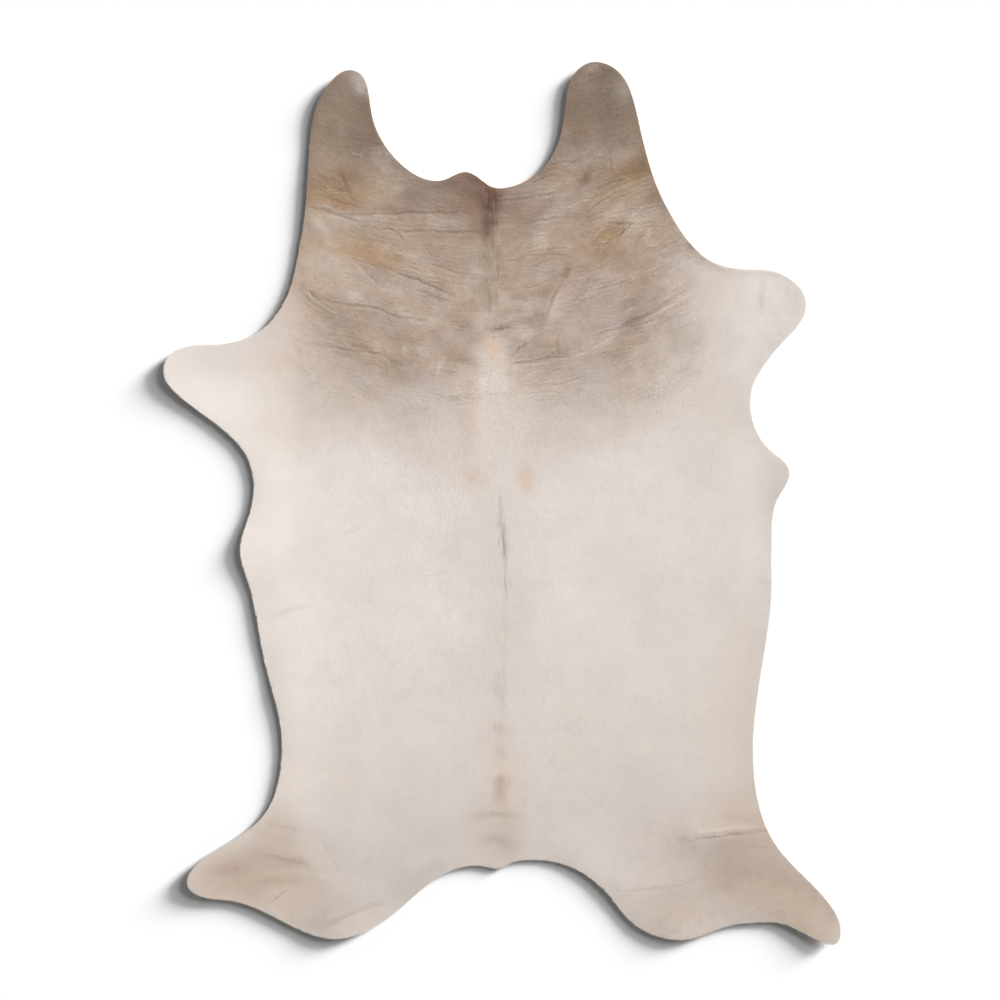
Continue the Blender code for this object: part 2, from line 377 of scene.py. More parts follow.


# %% [markdown]
# ## The creases of the neck
#
# A cow's neck and shoulders carry folds of loose skin, and tanning never takes them all out. They run
# across, and dip towards the backbone. The clear ones are placed here, each as a short line
# with its own width and depth. A negative depth is a trough, a positive one a soft ridge. The colour
# and strength say how the line is coloured: along a trough partly darker hair and partly painted
# shade, along a ridge partly paler hair and partly painted highlight.

# %% Lines given one by one
LINE_COLUMNS = ("place", "half_width", "depth", "colour", "strength", "points")
LINES = (
    ("left neck, knot stroke", 0.0056, -0.0003, "bark", 0.36,
     ((-0.438, 0.892), (-0.416, 0.852), (-0.402, 0.816))),
    ("left neck, knot, second stroke", 0.0040, -0.0004, "bark", 0.30,
     ((-0.474, 0.866), (-0.440, 0.850), (-0.402, 0.842))),
    ("left neck, gold stroke", 0.0040, -0.0004, "bark", 0.28,
     ((-0.480, 0.828), (-0.440, 0.820), (-0.404, 0.808))),
    ("left neck, russet stroke", 0.0042, -0.0005, "bark", 0.34,
     ((-0.276, 0.790), (-0.215, 0.790), (-0.140, 0.791))),
    ("left neck, long", 0.0045, -0.0010, "bark", 0.18,
     ((-0.529, 0.793), (-0.427, 0.782), (-0.289, 0.785), (-0.130, 0.788), (-0.050, 0.790))),
    ("left neck, branch", 0.0040, -0.0012, "bark", 0.42,
     ((-0.527, 0.804), (-0.480, 0.793), (-0.427, 0.774), (-0.370, 0.762))),
    ("left neck, branch light", 0.0050, 0.0008, "cream", 0.22,
     ((-0.515, 0.812), (-0.460, 0.797), (-0.400, 0.778))),
    ("left neck, second", 0.0040, -0.0010, "bark", 0.28,
     ((-0.351, 0.748), (-0.300, 0.742), (-0.254, 0.736), (-0.190, 0.738), (-0.124, 0.734), (-0.050, 0.738))),
    ("left neck, hook", 0.0045, -0.0010, "bark", 0.30,
     ((-0.327, 0.750), (-0.292, 0.739), (-0.268, 0.722), (-0.249, 0.704))),
    ("left neck, hook light", 0.0045, 0.0008, "cream", 0.26,
     ((-0.305, 0.752), (-0.278, 0.738), (-0.256, 0.712))),
    ("left shoulder, first", 0.0045, -0.0013, "bark", 0.34,
     ((-0.546, 0.590), (-0.497, 0.558), (-0.427, 0.541), (-0.365, 0.534), (-0.319, 0.520),
      (-0.289, 0.510), (-0.240, 0.502), (-0.192, 0.494))),
    ("left shoulder, fork", 0.0035, -0.0009, "bark", 0.30,
     ((-0.546, 0.600), (-0.508, 0.562), (-0.454, 0.521))),
    ("left shoulder, fork light", 0.0040, 0.0009, "cream", 0.32,
     ((-0.536, 0.578), (-0.500, 0.546), (-0.446, 0.512))),
    ("left shoulder, slant", 0.0050, -0.0010, "bark", 0.16,
     ((-0.400, 0.661), (-0.360, 0.622), (-0.319, 0.580))),
    ("left shoulder, inner", 0.0045, -0.0013, "bark", 0.42,
     ((-0.290, 0.624), (-0.250, 0.612), (-0.211, 0.596), (-0.168, 0.580), (-0.124, 0.564))),
    ("left shoulder, inner light", 0.0050, 0.0008, "cream", 0.18,
     ((-0.245, 0.594), (-0.190, 0.573), (-0.140, 0.556))),
    ("left of the backbone", 0.0035, -0.0008, "bark", 0.22,
     ((-0.211, 0.652), (-0.160, 0.640), (-0.133, 0.629), (-0.070, 0.616))),
    ("left shoulder, low", 0.0045, -0.0009, "bark", 0.24,
     ((-0.565, 0.447), (-0.500, 0.430), (-0.427, 0.417), (-0.350, 0.409), (-0.289, 0.396))),
    ("left shoulder, low light", 0.0040, 0.0006, "cream", 0.20,
     ((-0.530, 0.452), (-0.470, 0.437), (-0.400, 0.424))),
    ("left shoulder, third", 0.0042, -0.0009, "bark", 0.34,
     ((-0.412, 0.439), (-0.367, 0.419), (-0.346, 0.406))),
    ("left withers, knee", 0.0045, -0.0010, "bark", 0.30,
     ((-0.327, 0.426), (-0.312, 0.396), (-0.278, 0.383), (-0.231, 0.367))),
    ("left withers, knee light", 0.0040, 0.0006, "cream", 0.20,
     ((-0.319, 0.400), (-0.309, 0.375), (-0.304, 0.345))),
    ("left withers, pale curve", 0.0070, 0.0006, "cream", 0.22,
     ((-0.149, 0.389), (-0.171, 0.375), (-0.178, 0.345), (-0.183, 0.323))),
    ("left neck flap", 0.0050, -0.0008, "bark", 0.12,
     ((-0.440, 0.990), (-0.380, 0.984), (-0.325, 0.968))),
    ("backbone at the nape", 0.0070, -0.0003, "russet", 0.14,
     ((-0.020, 0.870), (-0.028, 0.800), (-0.030, 0.726))),
    ("backbone, rosy fibres", 0.0060, -0.0002, "russet", 0.38,
     ((-0.022, 0.738), (-0.027, 0.704), (-0.024, 0.672))),
    ("backbone, dark fibres", 0.0050, -0.0002, "bark", 0.16,
     ((-0.012, 0.692), (-0.016, 0.650), (-0.014, 0.612))),
    ("backbone, low fibres", 0.0055, -0.0002, "bark", 0.18,
     ((-0.040, 0.584), (-0.034, 0.545), (-0.032, 0.502))),
    ("backbone, left light", 0.0080, 0.0001, "peach", 0.20,
     ((-0.030, 0.700), (-0.023, 0.650), (-0.030, 0.590), (-0.024, 0.530))),
    ("backbone, right light", 0.0060, 0.0001, "beige", 0.18,
     ((-0.004, 0.640), (-0.010, 0.590), (-0.006, 0.530))),
    ("withers tick", 0.0060, -0.0008, "bark", 0.60,
     ((-0.034, 0.466), (-0.008, 0.474), (0.027, 0.479))),
    ("right neck, first", 0.0045, -0.0012, "bark", 0.38,
     ((-0.011, 0.818), (0.056, 0.825), (0.119, 0.836), (0.165, 0.846))),
    ("right neck, second", 0.0040, -0.0011, "bark", 0.36,
     ((0.060, 0.754), (0.090, 0.764), (0.124, 0.769), (0.178, 0.775), (0.205, 0.772))),
    ("right shoulder vein", 0.0036, -0.0005, "russet", 0.44,
     ((0.188, 0.640), (0.166, 0.603), (0.146, 0.575), (0.137, 0.556), (0.126, 0.521), (0.112, 0.485))),
    ("right shoulder vein light", 0.0070, 0.0002, "cream", 0.28,
     ((0.158, 0.570), (0.141, 0.535), (0.121, 0.483), (0.102, 0.434))),
    ("right neck, fork", 0.0036, -0.0007, "bark", 0.24,
     ((0.076, 0.864), (0.121, 0.885), (0.160, 0.889))),
    ("right neck, top", 0.0036, -0.0007, "bark", 0.20,
     ((0.115, 0.912), (0.150, 0.920), (0.190, 0.924))),
    ("right neck, edge streak", 0.0060, -0.0006, "bark", 0.14,
     ((0.430, 0.660), (0.475, 0.680), (0.512, 0.698))),
    ("right neck, upright", 0.0038, -0.0007, "bark", 0.22,
     ((0.352, 0.690), (0.372, 0.718), (0.398, 0.746))),
    ("right flap root, first curl", 0.0040, 0.0004, "cream", 0.26,
     ((0.161, 0.961), (0.179, 0.929), (0.229, 0.950), (0.279, 0.940))),
    ("right flap root, first shade", 0.0036, -0.0005, "bark", 0.22,
     ((0.166, 0.948), (0.186, 0.921), (0.232, 0.941), (0.280, 0.931))),
    ("right flap root, second curl", 0.0040, 0.0005, "cream", 0.28,
     ((0.136, 0.947), (0.172, 0.911), (0.229, 0.911), (0.271, 0.926))),
    ("right flap root, third curl", 0.0044, 0.0002, "cream", 0.12,
     ((0.296, 0.962), (0.300, 0.930), (0.307, 0.897), (0.342, 0.869))),
    ("right flap root, third shade", 0.0036, -0.0002, "bark", 0.08,
     ((0.287, 0.958), (0.291, 0.926), (0.299, 0.890), (0.330, 0.864))),
    ("right flap root, rosy stroke", 0.0044, -0.0004, "russet", 0.40,
     ((0.108, 0.897), (0.158, 0.904), (0.208, 0.872))),
    ("left flap root, first curl", 0.0040, 0.0002, "cream", 0.14,
     ((-0.311, 0.912), (-0.297, 0.882), (-0.304, 0.855))),
    ("left flap root, second curl", 0.0040, 0.0002, "cream", 0.10,
     ((-0.368, 0.969), (-0.382, 0.926), (-0.361, 0.897))),
    ("left flap root, third curl", 0.0040, 0.0002, "cream", 0.14,
     ((-0.345, 0.930), (-0.322, 0.902), (-0.330, 0.872), (-0.318, 0.850))),
    ("right neck, third", 0.0038, -0.0006, "russet", 0.46,
     ((0.090, 0.672), (0.140, 0.674), (0.186, 0.668))),
    ("right neck, third, upper", 0.0038, -0.0005, "russet", 0.32,
     ((0.118, 0.692), (0.156, 0.694), (0.190, 0.688))),
    ("right of the backbone, first", 0.0035, -0.0008, "bark", 0.26,
     ((-0.006, 0.653), (0.030, 0.658), (0.059, 0.669))),
    ("right of the backbone, second", 0.0035, -0.0008, "bark", 0.26,
     ((0.054, 0.583), (0.090, 0.590), (0.127, 0.607))),
    ("right shoulder tick", 0.0050, -0.0008, "bark", 0.50,
     ((0.186, 0.549), (0.202, 0.556))),
    ("right shoulder, inner", 0.0035, -0.0008, "bark", 0.26,
     ((0.205, 0.566), (0.240, 0.576), (0.278, 0.588), (0.305, 0.592), (0.340, 0.604), (0.370, 0.620))),
    ("right shoulder, first", 0.0045, -0.0013, "bark", 0.30,
     ((0.240, 0.455), (0.316, 0.477), (0.345, 0.494), (0.402, 0.518), (0.445, 0.548), (0.513, 0.585),
      (0.560, 0.604))),
    ("right shoulder, darkest", 0.0100, -0.0004, "bark", 0.26,
     ((0.322, 0.480), (0.352, 0.496), (0.384, 0.508))),
    ("right shoulder, first light", 0.0045, 0.0008, "cream", 0.24,
     ((0.345, 0.482), (0.402, 0.506), (0.450, 0.534), (0.520, 0.574))),
    ("right neck, short", 0.0040, -0.0010, "bark", 0.52,
     ((0.276, 0.760), (0.310, 0.758), (0.351, 0.756))),
    ("right neck, corner", 0.0040, -0.0011, "bark", 0.46,
     ((0.357, 0.764), (0.336, 0.742), (0.310, 0.722), (0.268, 0.702))),
    ("right neck, corner light", 0.0045, 0.0008, "gold", 0.40,
     ((0.351, 0.747), (0.380, 0.752), (0.405, 0.754), (0.440, 0.752))),
    ("right neck flap, upper", 0.0040, -0.0010, "bark", 0.30,
     ((0.415, 0.880), (0.340, 0.853), (0.275, 0.822), (0.216, 0.780))),
    ("right neck flap, upper light", 0.0045, 0.0008, "gold", 0.42,
     ((0.412, 0.890), (0.345, 0.864), (0.285, 0.838), (0.200, 0.795))),
    ("right neck flap, lower light", 0.0040, 0.0007, "gold", 0.34,
     ((0.420, 0.868), (0.360, 0.842), (0.300, 0.818))),
    ("right withers, slant", 0.0045, -0.0011, "bark", 0.36,
     ((0.019, 0.396), (0.039, 0.418), (0.065, 0.434), (0.089, 0.450), (0.112, 0.470))),
    ("right withers, slant light", 0.0060, 0.0007, "cream", 0.24,
     ((0.042, 0.440), (0.066, 0.458), (0.086, 0.472))),
    ("right withers, flat", 0.0040, -0.0009, "bark", 0.40,
     ((0.034, 0.382), (0.081, 0.386), (0.113, 0.394), (0.170, 0.400))),
    ("right withers, flat light", 0.0038, 0.0005, "cream", 0.18,
     ((0.050, 0.373), (0.095, 0.376), (0.135, 0.384))),
    ("right withers, long", 0.0036, -0.0006, "bark", 0.26,
     ((0.130, 0.322), (0.165, 0.330), (0.208, 0.340))),
    ("right withers, upright", 0.0060, -0.0006, "bark", 0.20,
     ((0.146, 0.440), (0.148, 0.415), (0.154, 0.402))),
    ("left thigh", 0.0040, -0.0006, "bark", 0.36,
     ((-0.650, -0.948), (-0.600, -0.957), (-0.548, -0.968), (-0.515, -0.980))),
    ("left hind fold", 0.0060, -0.0005, "bark", 0.16,
     ((-0.500, -1.146), (-0.460, -1.128), (-0.413, -1.108), (-0.350, -1.084), (-0.312, -1.080))),
    ("left hind fold, light", 0.0080, 0.0002, "cream", 0.20,
     ((-0.625, -0.990), (-0.543, -0.998), (-0.450, -1.010), (-0.360, -1.027))),
    ("left hind crease", 0.0040, -0.0003, "bark", 0.18,
     ((-0.626, -1.078), (-0.600, -1.058), (-0.575, -1.042))),
    ("left thigh, upper", 0.0045, -0.0005, "gold", 0.26,
     ((-0.640, -0.858), (-0.590, -0.872), (-0.540, -0.882))),
    ("right thigh", 0.0036, -0.0008, "bark", 0.62,
     ((0.475, -0.908), (0.540, -0.902), (0.605, -0.893), (0.665, -0.888), (0.725, -0.882))),
    ("right thigh light", 0.0060, 0.0004, "cream", 0.20,
     ((0.500, -0.892), (0.600, -0.878), (0.690, -0.873))),
    ("right thigh, second", 0.0040, -0.0003, "bark", 0.10,
     ((0.560, -0.935), (0.640, -0.925), (0.720, -0.930))),
    ("right hind fold", 0.0036, -0.0005, "bark", 0.26,
     ((0.272, -1.040), (0.350, -1.040), (0.432, -1.036), (0.472, -1.029), (0.542, -1.006))),
    # the smoke of this soft crease is painted shade along it
    ("right foreleg, crease", 0.0080, -0.0003, "smoke", 0.14,
     ((0.704, 0.606), (0.699, 0.560), (0.697, 0.508))),
    ("back slit, upper", 0.0085, -0.0002, "smoke", 0.18,
     ((-0.006, 0.035), (-0.004, -0.020), (0.000, -0.090))),
    ("back slit, lower", 0.0068, -0.0003, "mauve", 0.32,
     ((0.001, -0.060), (0.004, -0.110), (0.006, -0.160))),
    ("back slit, tail", 0.0042, -0.0003, "mauve", 0.13,
     ((0.004, -0.150), (0.007, -0.195), (0.008, -0.240))),
    ("back, loin", 0.0080, -0.0001, "tan", 0.12,
     ((0.008, -0.200), (0.006, -0.400), (0.002, -0.560), (0.000, -0.700))),
    ("left side, first", 0.0040, -0.0005, "bark", 0.10,
     ((-0.227, -0.198), (-0.180, -0.189), (-0.138, -0.180))),
    ("left side, second", 0.0040, -0.0005, "bark", 0.10,
     ((-0.440, -0.084), (-0.410, -0.077), (-0.378, -0.068))),
    ("left side, third", 0.0045, -0.0006, "bark", 0.10,
     ((-0.627, -0.314), (-0.578, -0.289), (-0.475, -0.260))),
)
print(f"{len(LINES)} lines placed by hand")

# %% [markdown]
# Between those lies a web of finer wrinkles, too many to place one by one. Where they bundle, the bundle
# is listed: its middle, how far it spreads along x and y, and the length, turn, number and
# strength of its wrinkles. The rest are scattered over the neck and follow its sweep: level at the
# backbone and rising to both sides. A fixed seed draws them all, so they fall in the same places.

# %% Fine wrinkles
BUNDLE_COLUMNS = ("place", "x", "y", "spread_x", "spread_y", "length", "turn", "count", "strength")
BUNDLES = (
    ("left shoulder", -0.435, 0.437, 0.080, 0.038, 0.080, -14, 13, 0.30),
    ("left withers", -0.230, 0.374, 0.034, 0.022, 0.060, -6, 5, 0.26),
    ("left of the mane", -0.116, 0.383, 0.026, 0.040, 0.070, -2, 8, 0.30),
    ("left of the mane, low", -0.122, 0.285, 0.030, 0.040, 0.070, -4, 6, 0.15),
    ("right of the mane", 0.100, 0.308, 0.020, 0.032, 0.065, 4, 6, 0.22),
    ("right shoulder", 0.385, 0.516, 0.070, 0.024, 0.090, 25, 13, 0.30),
    ("right shoulder, low", 0.243, 0.423, 0.034, 0.020, 0.050, 8, 5, 0.20),
    ("left shoulder, crossing", -0.289, 0.480, 0.024, 0.024, 0.050, -50, 5, 0.26),
    ("left shoulder, inner", -0.227, 0.453, 0.030, 0.022, 0.050, -32, 5, 0.20),
    ("left neck, under the gold", -0.451, 0.788, 0.040, 0.020, 0.075, -12, 6, 0.24),
    ("left neck, gold", -0.454, 0.850, 0.044, 0.034, 0.060, -4, 8, 0.24),
    ("left neck, root of the flap", -0.432, 0.947, 0.034, 0.022, 0.040, 0, 6, 0.18),
    ("left of the nape", -0.208, 0.742, 0.060, 0.014, 0.080, 0, 5, 0.22),
    ("left shoulder, gold", -0.367, 0.661, 0.050, 0.028, 0.070, -18, 8, 0.22),
    ("right neck, root of the flap", 0.250, 0.953, 0.030, 0.028, 0.036, 42, 8, 0.22),
    ("right neck, gold", 0.335, 0.845, 0.060, 0.022, 0.090, 24, 8, 0.26),
    ("right neck, top", 0.129, 0.893, 0.044, 0.026, 0.050, 14, 6, 0.20),
    ("right neck, rust", 0.281, 0.699, 0.032, 0.026, 0.036, 50, 9, 0.26),
    ("right neck, mottled", 0.394, 0.590, 0.040, 0.036, 0.030, 40, 7, 0.22),
    ("backbone, upper fibres", -0.030, 0.640, 0.018, 0.090, 0.055, 92, 14, 0.22),
    ("backbone, nape fibres", -0.034, 0.790, 0.030, 0.050, 0.040, 86, 10, 0.24),
    ("backbone, back fibres", 0.000, -0.120, 0.022, 0.160, 0.045, 90, 16, 0.10),
    ("backbone, loin fibres", 0.000, -0.520, 0.022, 0.220, 0.050, 90, 16, 0.08),
    ("right neck, gold fibres", 0.285, 0.715, 0.044, 0.034, 0.050, 40, 12, 0.24),
    ("right neck, flap root fibres", 0.360, 0.880, 0.040, 0.030, 0.060, 28, 10, 0.24),
)
WRINKLES = 820
WRINKLE_SEED = 41
WRINKLE_BOW = 1.0  # how much the sweep's slope grows for each metre from the backbone
NECK_LEFT, NECK_RIGHT = -0.56, 0.53
NECK_LOW, NECK_HIGH = 0.26, 1.00
LIGHT_SHARE = 0.38  # of the fine wrinkles that are soft ridges and catch the light
PLACED_GAPS = 0.50  # how much the lines placed by hand break off, where the fine wrinkles have 1
HALF_WIDTHS = (0.0017, 0.0032)
DEPTHS = (0.0001, 0.0004)
STRENGTHS = (0.08, 0.26)
STRENGTH_VARIES = (0.5, 1.2)
LENGTHS = (0.020, 0.050)
LENGTHENED = (1, 1, 2, 3)  # drawn alike, so half of the wrinkles stay short
BOW_STRAY = 0.35
SWEEP_STRAY = 0.16  # radians off the sweep
BUNDLE_STRAY = 5  # degrees off the bundle's turn
BUNDLE_LENGTH_VARIES = (0.6, 1.3)
WRINKLE_POINTS = 5


def fine_wrinkle(chance, middle, length, turn, bow, strength):
    """One fine wrinkle, as a row like those placed by hand."""
    run = np.linspace(-0.5, 0.5, WRINKLE_POINTS) * length
    rise = (bow + chance.normal(0, BOW_STRAY)) * run**2
    light = chance.random() < LIGHT_SHARE
    cos, sin = math.cos(turn), math.sin(turn)
    return {
        "place": "neck",
        "half_width": chance.uniform(*HALF_WIDTHS),
        "depth": chance.uniform(*DEPTHS) * (1 if light else -1),
        # bark in a trough is partly darker hair and partly painted shade; cream on a ridge is partly paler
        # hair and partly painted highlight
        "colour": "cream" if light else "bark",
        "strength": strength * chance.uniform(*STRENGTH_VARIES),
        "gaps": 1.0,
        "points": middle + np.column_stack([run * cos - rise * sin, run * sin + rise * cos]),
    }


def bundled(row, chance):
    """The wrinkles of one bundle, nearly parallel."""
    bundle = dict(zip(BUNDLE_COLUMNS, row))
    made = []
    for _ in range(bundle["count"]):
        away = chance.uniform(-1, 1, 2) * (bundle["spread_x"], bundle["spread_y"])
        turn = math.radians(bundle["turn"] + chance.normal(0, BUNDLE_STRAY))
        length = bundle["length"] * chance.uniform(*BUNDLE_LENGTH_VARIES)
        middle = away + (bundle["x"], bundle["y"])
        made.append(fine_wrinkle(chance, middle, length, turn, 0, bundle["strength"]))
    return made


def scattered(chance):
    """One wrinkle anywhere on the neck, along its sweep."""
    middle = np.array([chance.uniform(NECK_LEFT, NECK_RIGHT), chance.uniform(NECK_LOW, NECK_HIGH)])
    length = chance.uniform(*LENGTHS) * chance.choice(LENGTHENED)
    turn = math.atan(WRINKLE_BOW * middle[0]) + chance.normal(0, SWEEP_STRAY)
    return fine_wrinkle(chance, middle, length, turn, WRINKLE_BOW / 2, chance.uniform(*STRENGTHS))


chance = np.random.default_rng(WRINKLE_SEED)
lines = [dict(zip(LINE_COLUMNS, row), gaps=PLACED_GAPS) for row in LINES]
for row in BUNDLES:
    lines += bundled(row, chance)
lines += [scattered(chance) for _ in range(WRINKLES)]
print(f"{len(lines)} lines in all")

# %% [markdown]
# To draw a line on a plan, only the places near it are worked on. For each of them, the nearest point
# of the line gives how far beside it the place lies, and how far along. Both ends fade out, because
# no wrinkle stops dead. A slow noise bends the places first, so that no line is quite smooth, and
# another lets it come and go along its length.

# %% Drawing a line on the plan
LINE_REACH = 4.5  # half widths to each side
LINE_STEP = 0.008
LINE_ENDS = (0.01, 0.99)  # of the length, where the fade stops short of nothing
WOBBLE = 0.0022
WOBBLE_SIZE = 0.022
WOBBLE_MOST = 2  # times WOBBLE, which is more than the layers add up to
LEAST_LINE = 0.30  # of a line's strength, where it nearly breaks off
BREAK_SIZE = 0.036
BREAK_FROM, BREAK_TO = -0.5, 0.4  # of the noise: a line is weakest below the one, whole above the other

wobble_x = plan_x + WOBBLE * layered_noise(plan_x, plan_y, WOBBLE_SIZE, seed=5)
wobble_y = plan_y + WOBBLE * layered_noise(plan_x, plan_y, WOBBLE_SIZE, seed=15)
breaks = soft_noise(plan_x, plan_y, BREAK_SIZE, BREAK_SIZE, seed=45)
unbroken = LEAST_LINE + (1 - LEAST_LINE) * smooth_step(breaks, BREAK_FROM, BREAK_TO)


def near_line(line):
    """The part of the plan near a line, and there the distance beside it in half widths and its fade."""
    route = smooth_line(line["points"], LINE_STEP)
    reach = line["half_width"] * LINE_REACH + WOBBLE * WOBBLE_MOST
    low = np.maximum(((route.min(axis=0) - reach - plan_low) / PLAN_STEP).astype(int), 0)
    high = np.minimum(((route.max(axis=0) + reach - plan_low) / PLAN_STEP).astype(int) + 2, plan_size)
    part = (slice(low[1], high[1]), slice(low[0], high[0]))
    x, y = wobble_x[part], wobble_y[part]
    nearest = np.full(x.shape, np.inf)
    share = np.zeros(x.shape)
    for number, (start, end) in enumerate(zip(route[:-1], route[1:])):
        run = end - start
        along = np.clip(((x - start[0]) * run[0] + (y - start[1]) * run[1]) / (run @ run), 0, 1)
        gap = np.hypot(x - start[0] - along * run[0], y - start[1] - along * run[1])
        closer = gap < nearest
        nearest[closer] = gap[closer]
        share[closer] = (number + along[closer]) / (len(route) - 1)
    fade = np.sqrt(np.sin(np.pi * np.clip(share, *LINE_ENDS)))
    return part, nearest / line["half_width"], fade * unbroken[part] ** line["gaps"]


# %% [markdown]
# ## The height of the skin
#
# The skin's upper face is the solid's top less the lying hair. On it go the creases, a slow swell that
# no floor takes out, and the curl of the cut edge, which dries faster than the middle. The edges that
# look left and tailwards have curled most, and throw the wide shadow there. Cloth simulation could
# settle it, but a hide this stiff keeps the shape it has, so plain sums do.
#
# The pile evens out the slopes: the hair of a lifted flap or a curled rim still faces up, and even a
# crease turns it only part of the way. So the way the hair faces is read from a second sum, with most
# of the creases, little of the folds and no curl.

# %% Height plan of the skin
LYING_HAIR = 0.0025
LEATHER = 0.0025
SWELL = 0.0004
SWELL_SIZE = 0.17
GRAIN = 0.00010
GRAINS = (
    (0.060, 0.010, 25, 0.12),
    (0.022, 0.006, 26, 0.0),
)  # length along the neck's sweep, width, seed and how much of it the body has
NECK_FROM, NECK_FULL = 0.18, 0.40  # borders of the wrinkled part along y, then its two sides along x
NECK_SIDE_LEFT = (-0.62, -0.54)
NECK_SIDE_RIGHT = (0.50, 0.60)
CURL_LOW, CURL_HIGH = 0.0018, 0.0094  # at the edges that lie flattest and that curl most
CURL_REACH_LOW, CURL_REACH_HIGH = 0.016, 0.080
CURLS_MOST = math.radians(215)  # the way those edges look, from +X towards +Y
CURLS_FROM, CURLS_FULL = -0.7, 0.5  # how far an edge looks that way, from -1 to 1
CURL_VARIES = 0.25
CURL_VARIES_SIZE = 0.11
CURL_EVENNESS = 0.020
SHOULDER = 0.40  # of a trough's depth, raised again over a wider band beside it
SHOULDER_WIDTH = 2.5  # half widths
LEAST_LEATHER = 0.0011
FACING_FOLDS = 0.10  # share of the folds' slope that shows in the way the hair faces
FACING_CREASES = 0.26


def sweep(y):
    """How far up the neck's sweep a place lies, so that wrinkles along x follow the sweep."""
    return y - WRINKLE_BOW * plan_x**2 / 2


on_neck = (
    smooth_step(plan_y, NECK_FROM, NECK_FULL)
    * smooth_step(plan_x, *NECK_SIDE_LEFT)
    * (1 - smooth_step(plan_x, *NECK_SIDE_RIGHT))
)
relief = SWELL * layered_noise(plan_x, plan_y, SWELL_SIZE, seed=21)
for long, wide, seed, body_share in GRAINS:
    relief += GRAIN * soft_noise(plan_x, sweep(plan_y), long, wide, seed, turn=0) * (body_share + on_neck)
for line in lines:
    part, beside, fade = near_line(line)
    profile = np.exp(-(beside**2)) - SHOULDER * np.exp(-((beside / SHOULDER_WIDTH) ** 2))
    relief[part] += line["depth"] * fade * profile
inward_y, inward_x = np.gradient(soften(room, CURL_EVENNESS), PLAN_STEP)
looks = -(inward_x * math.cos(CURLS_MOST) + inward_y * math.sin(CURLS_MOST))
curls = smooth_step(looks, CURLS_FROM, CURLS_FULL)
curl = CURL_LOW + (CURL_HIGH - CURL_LOW) * curls
curl *= 1 + CURL_VARIES * soft_noise(plan_x, plan_y, CURL_VARIES_SIZE, CURL_VARIES_SIZE, seed=27)
curl_reach = CURL_REACH_LOW + (CURL_REACH_HIGH - CURL_REACH_LOW) * curls
curl = soften(curl * np.exp(-((np.maximum(room, 0) / curl_reach) ** 2)), CURL_EVENNESS)
height = np.maximum(lie - LYING_HAIR + relief + curl, LEAST_LEATHER)
slope_y, slope_x = np.gradient(height, PLAN_STEP)
facing_y, facing_x = np.gradient(FACING_FOLDS * lie + FACING_CREASES * relief, PLAN_STEP)
print(f"skin: up to {height[room > 0].max() * 1000:.1f} mm high")

# %% [markdown]
# ## The skin
#
# The skin is one closed sheet of leather: the hair side, the flesh side under it, and the raw rim where
# the knife went through. A grid of squares would step along the edge. Here a Delaunay triangulation
# fills the smooth edge with a lattice of points, close together where the plan is creased and wide
# apart where it is flat, so that the triangles go where the shape is.

# %% Points for the skin
EDGE_INSET = 0.0025  # the hair reaches this far past the leather
FINE_STEP = 0.0065
COARSE_EVERY = 4  # one point in so many each way is kept where the hide is flat
FLESH_STEP = 0.013
FLESH_COARSE_EVERY = 3
CREASED = 0.55  # curvature, per metre, above which the lattice is fine
FLESH_CREASED = 0.5  # of the curvature, for the flesh side, where less of it shows
CREASED_SOFTNESS = 0.006
EDGE_CLEAR = 0.7  # of a step, kept free beside the edge


def inward(loop, distance):
    """The closed loop moved inward by a distance."""
    run = np.roll(loop, -1, axis=0) - np.roll(loop, 1, axis=0)
    left = np.column_stack([-run[:, 1], run[:, 0]])
    return loop + distance * left / np.linalg.norm(left, axis=1)[:, None]


def lattice(step):
    """A triangular lattice over the plan, as points and their two lattice numbers."""
    reach = int(max(plan_size) * PLAN_STEP / step)
    i, j = (part.ravel() for part in np.meshgrid(range(-reach, reach + 1), range(-reach, reach + 1)))
    return np.column_stack([(i + j / 2) * step, j * step * math.sqrt(3) / 2]), i, j


def on_plan(points):
    """Whether each point lies inside the plan."""
    return np.all((points > plan_low) & (points < plan_low + plan_size * PLAN_STEP), axis=1)


def filling(step, coarse_every, creased):
    """Points inside the edge: each of the fine lattice where it is creased, else one in coarse_every."""
    points, i, j = lattice(step)
    wide = (i % coarse_every == 0) & (j % coarse_every == 0)
    kept = on_plan(points)
    points, wide = points[kept], wide[kept]
    fine = look_up(creased, points) > CREASED
    points, fine = points[wide | fine], fine[wide | fine]
    clear = np.where(fine, step, step * coarse_every) * EDGE_CLEAR
    return points[look_up(room, points) - EDGE_INSET > clear]


bend = np.abs(np.gradient(slope_x, PLAN_STEP, axis=1)) + np.abs(np.gradient(slope_y, PLAN_STEP, axis=0))
creased = soften(bend, CREASED_SOFTNESS)
leather_edge = inward(edge, EDGE_INSET)
hair_side_points = filling(FINE_STEP, COARSE_EVERY, creased)
flesh_side_points = filling(FLESH_STEP, FLESH_COARSE_EVERY, creased * FLESH_CREASED)
print(f"{len(hair_side_points)} points on the hair side, {len(flesh_side_points)} on the flesh side")

# %% [markdown]
# The rim is four rings: the hair side ends a little inside the edge, two rings stand at the edge itself,
# and the flesh side starts a little inside again. That rounds both corners of the cut. The underside
# follows the upper face a leather's thickness lower, but never goes into the floor.

# %% Skin mesh
ROUNDING = 0.0005
FLOOR_GAP = 0.0002
UNDER_HAIR = 0.0003  # how far below its plan the hair side is laid, clear of the roots
INSIDE_ONLY = 1  # asks the triangulation for the triangles inside the loop
MERGE_WITHIN = 1e-7
HAIR_SIDE, FLESH_SIDE, CUT_RIM = range(3)  # numbers of the skin's finishes


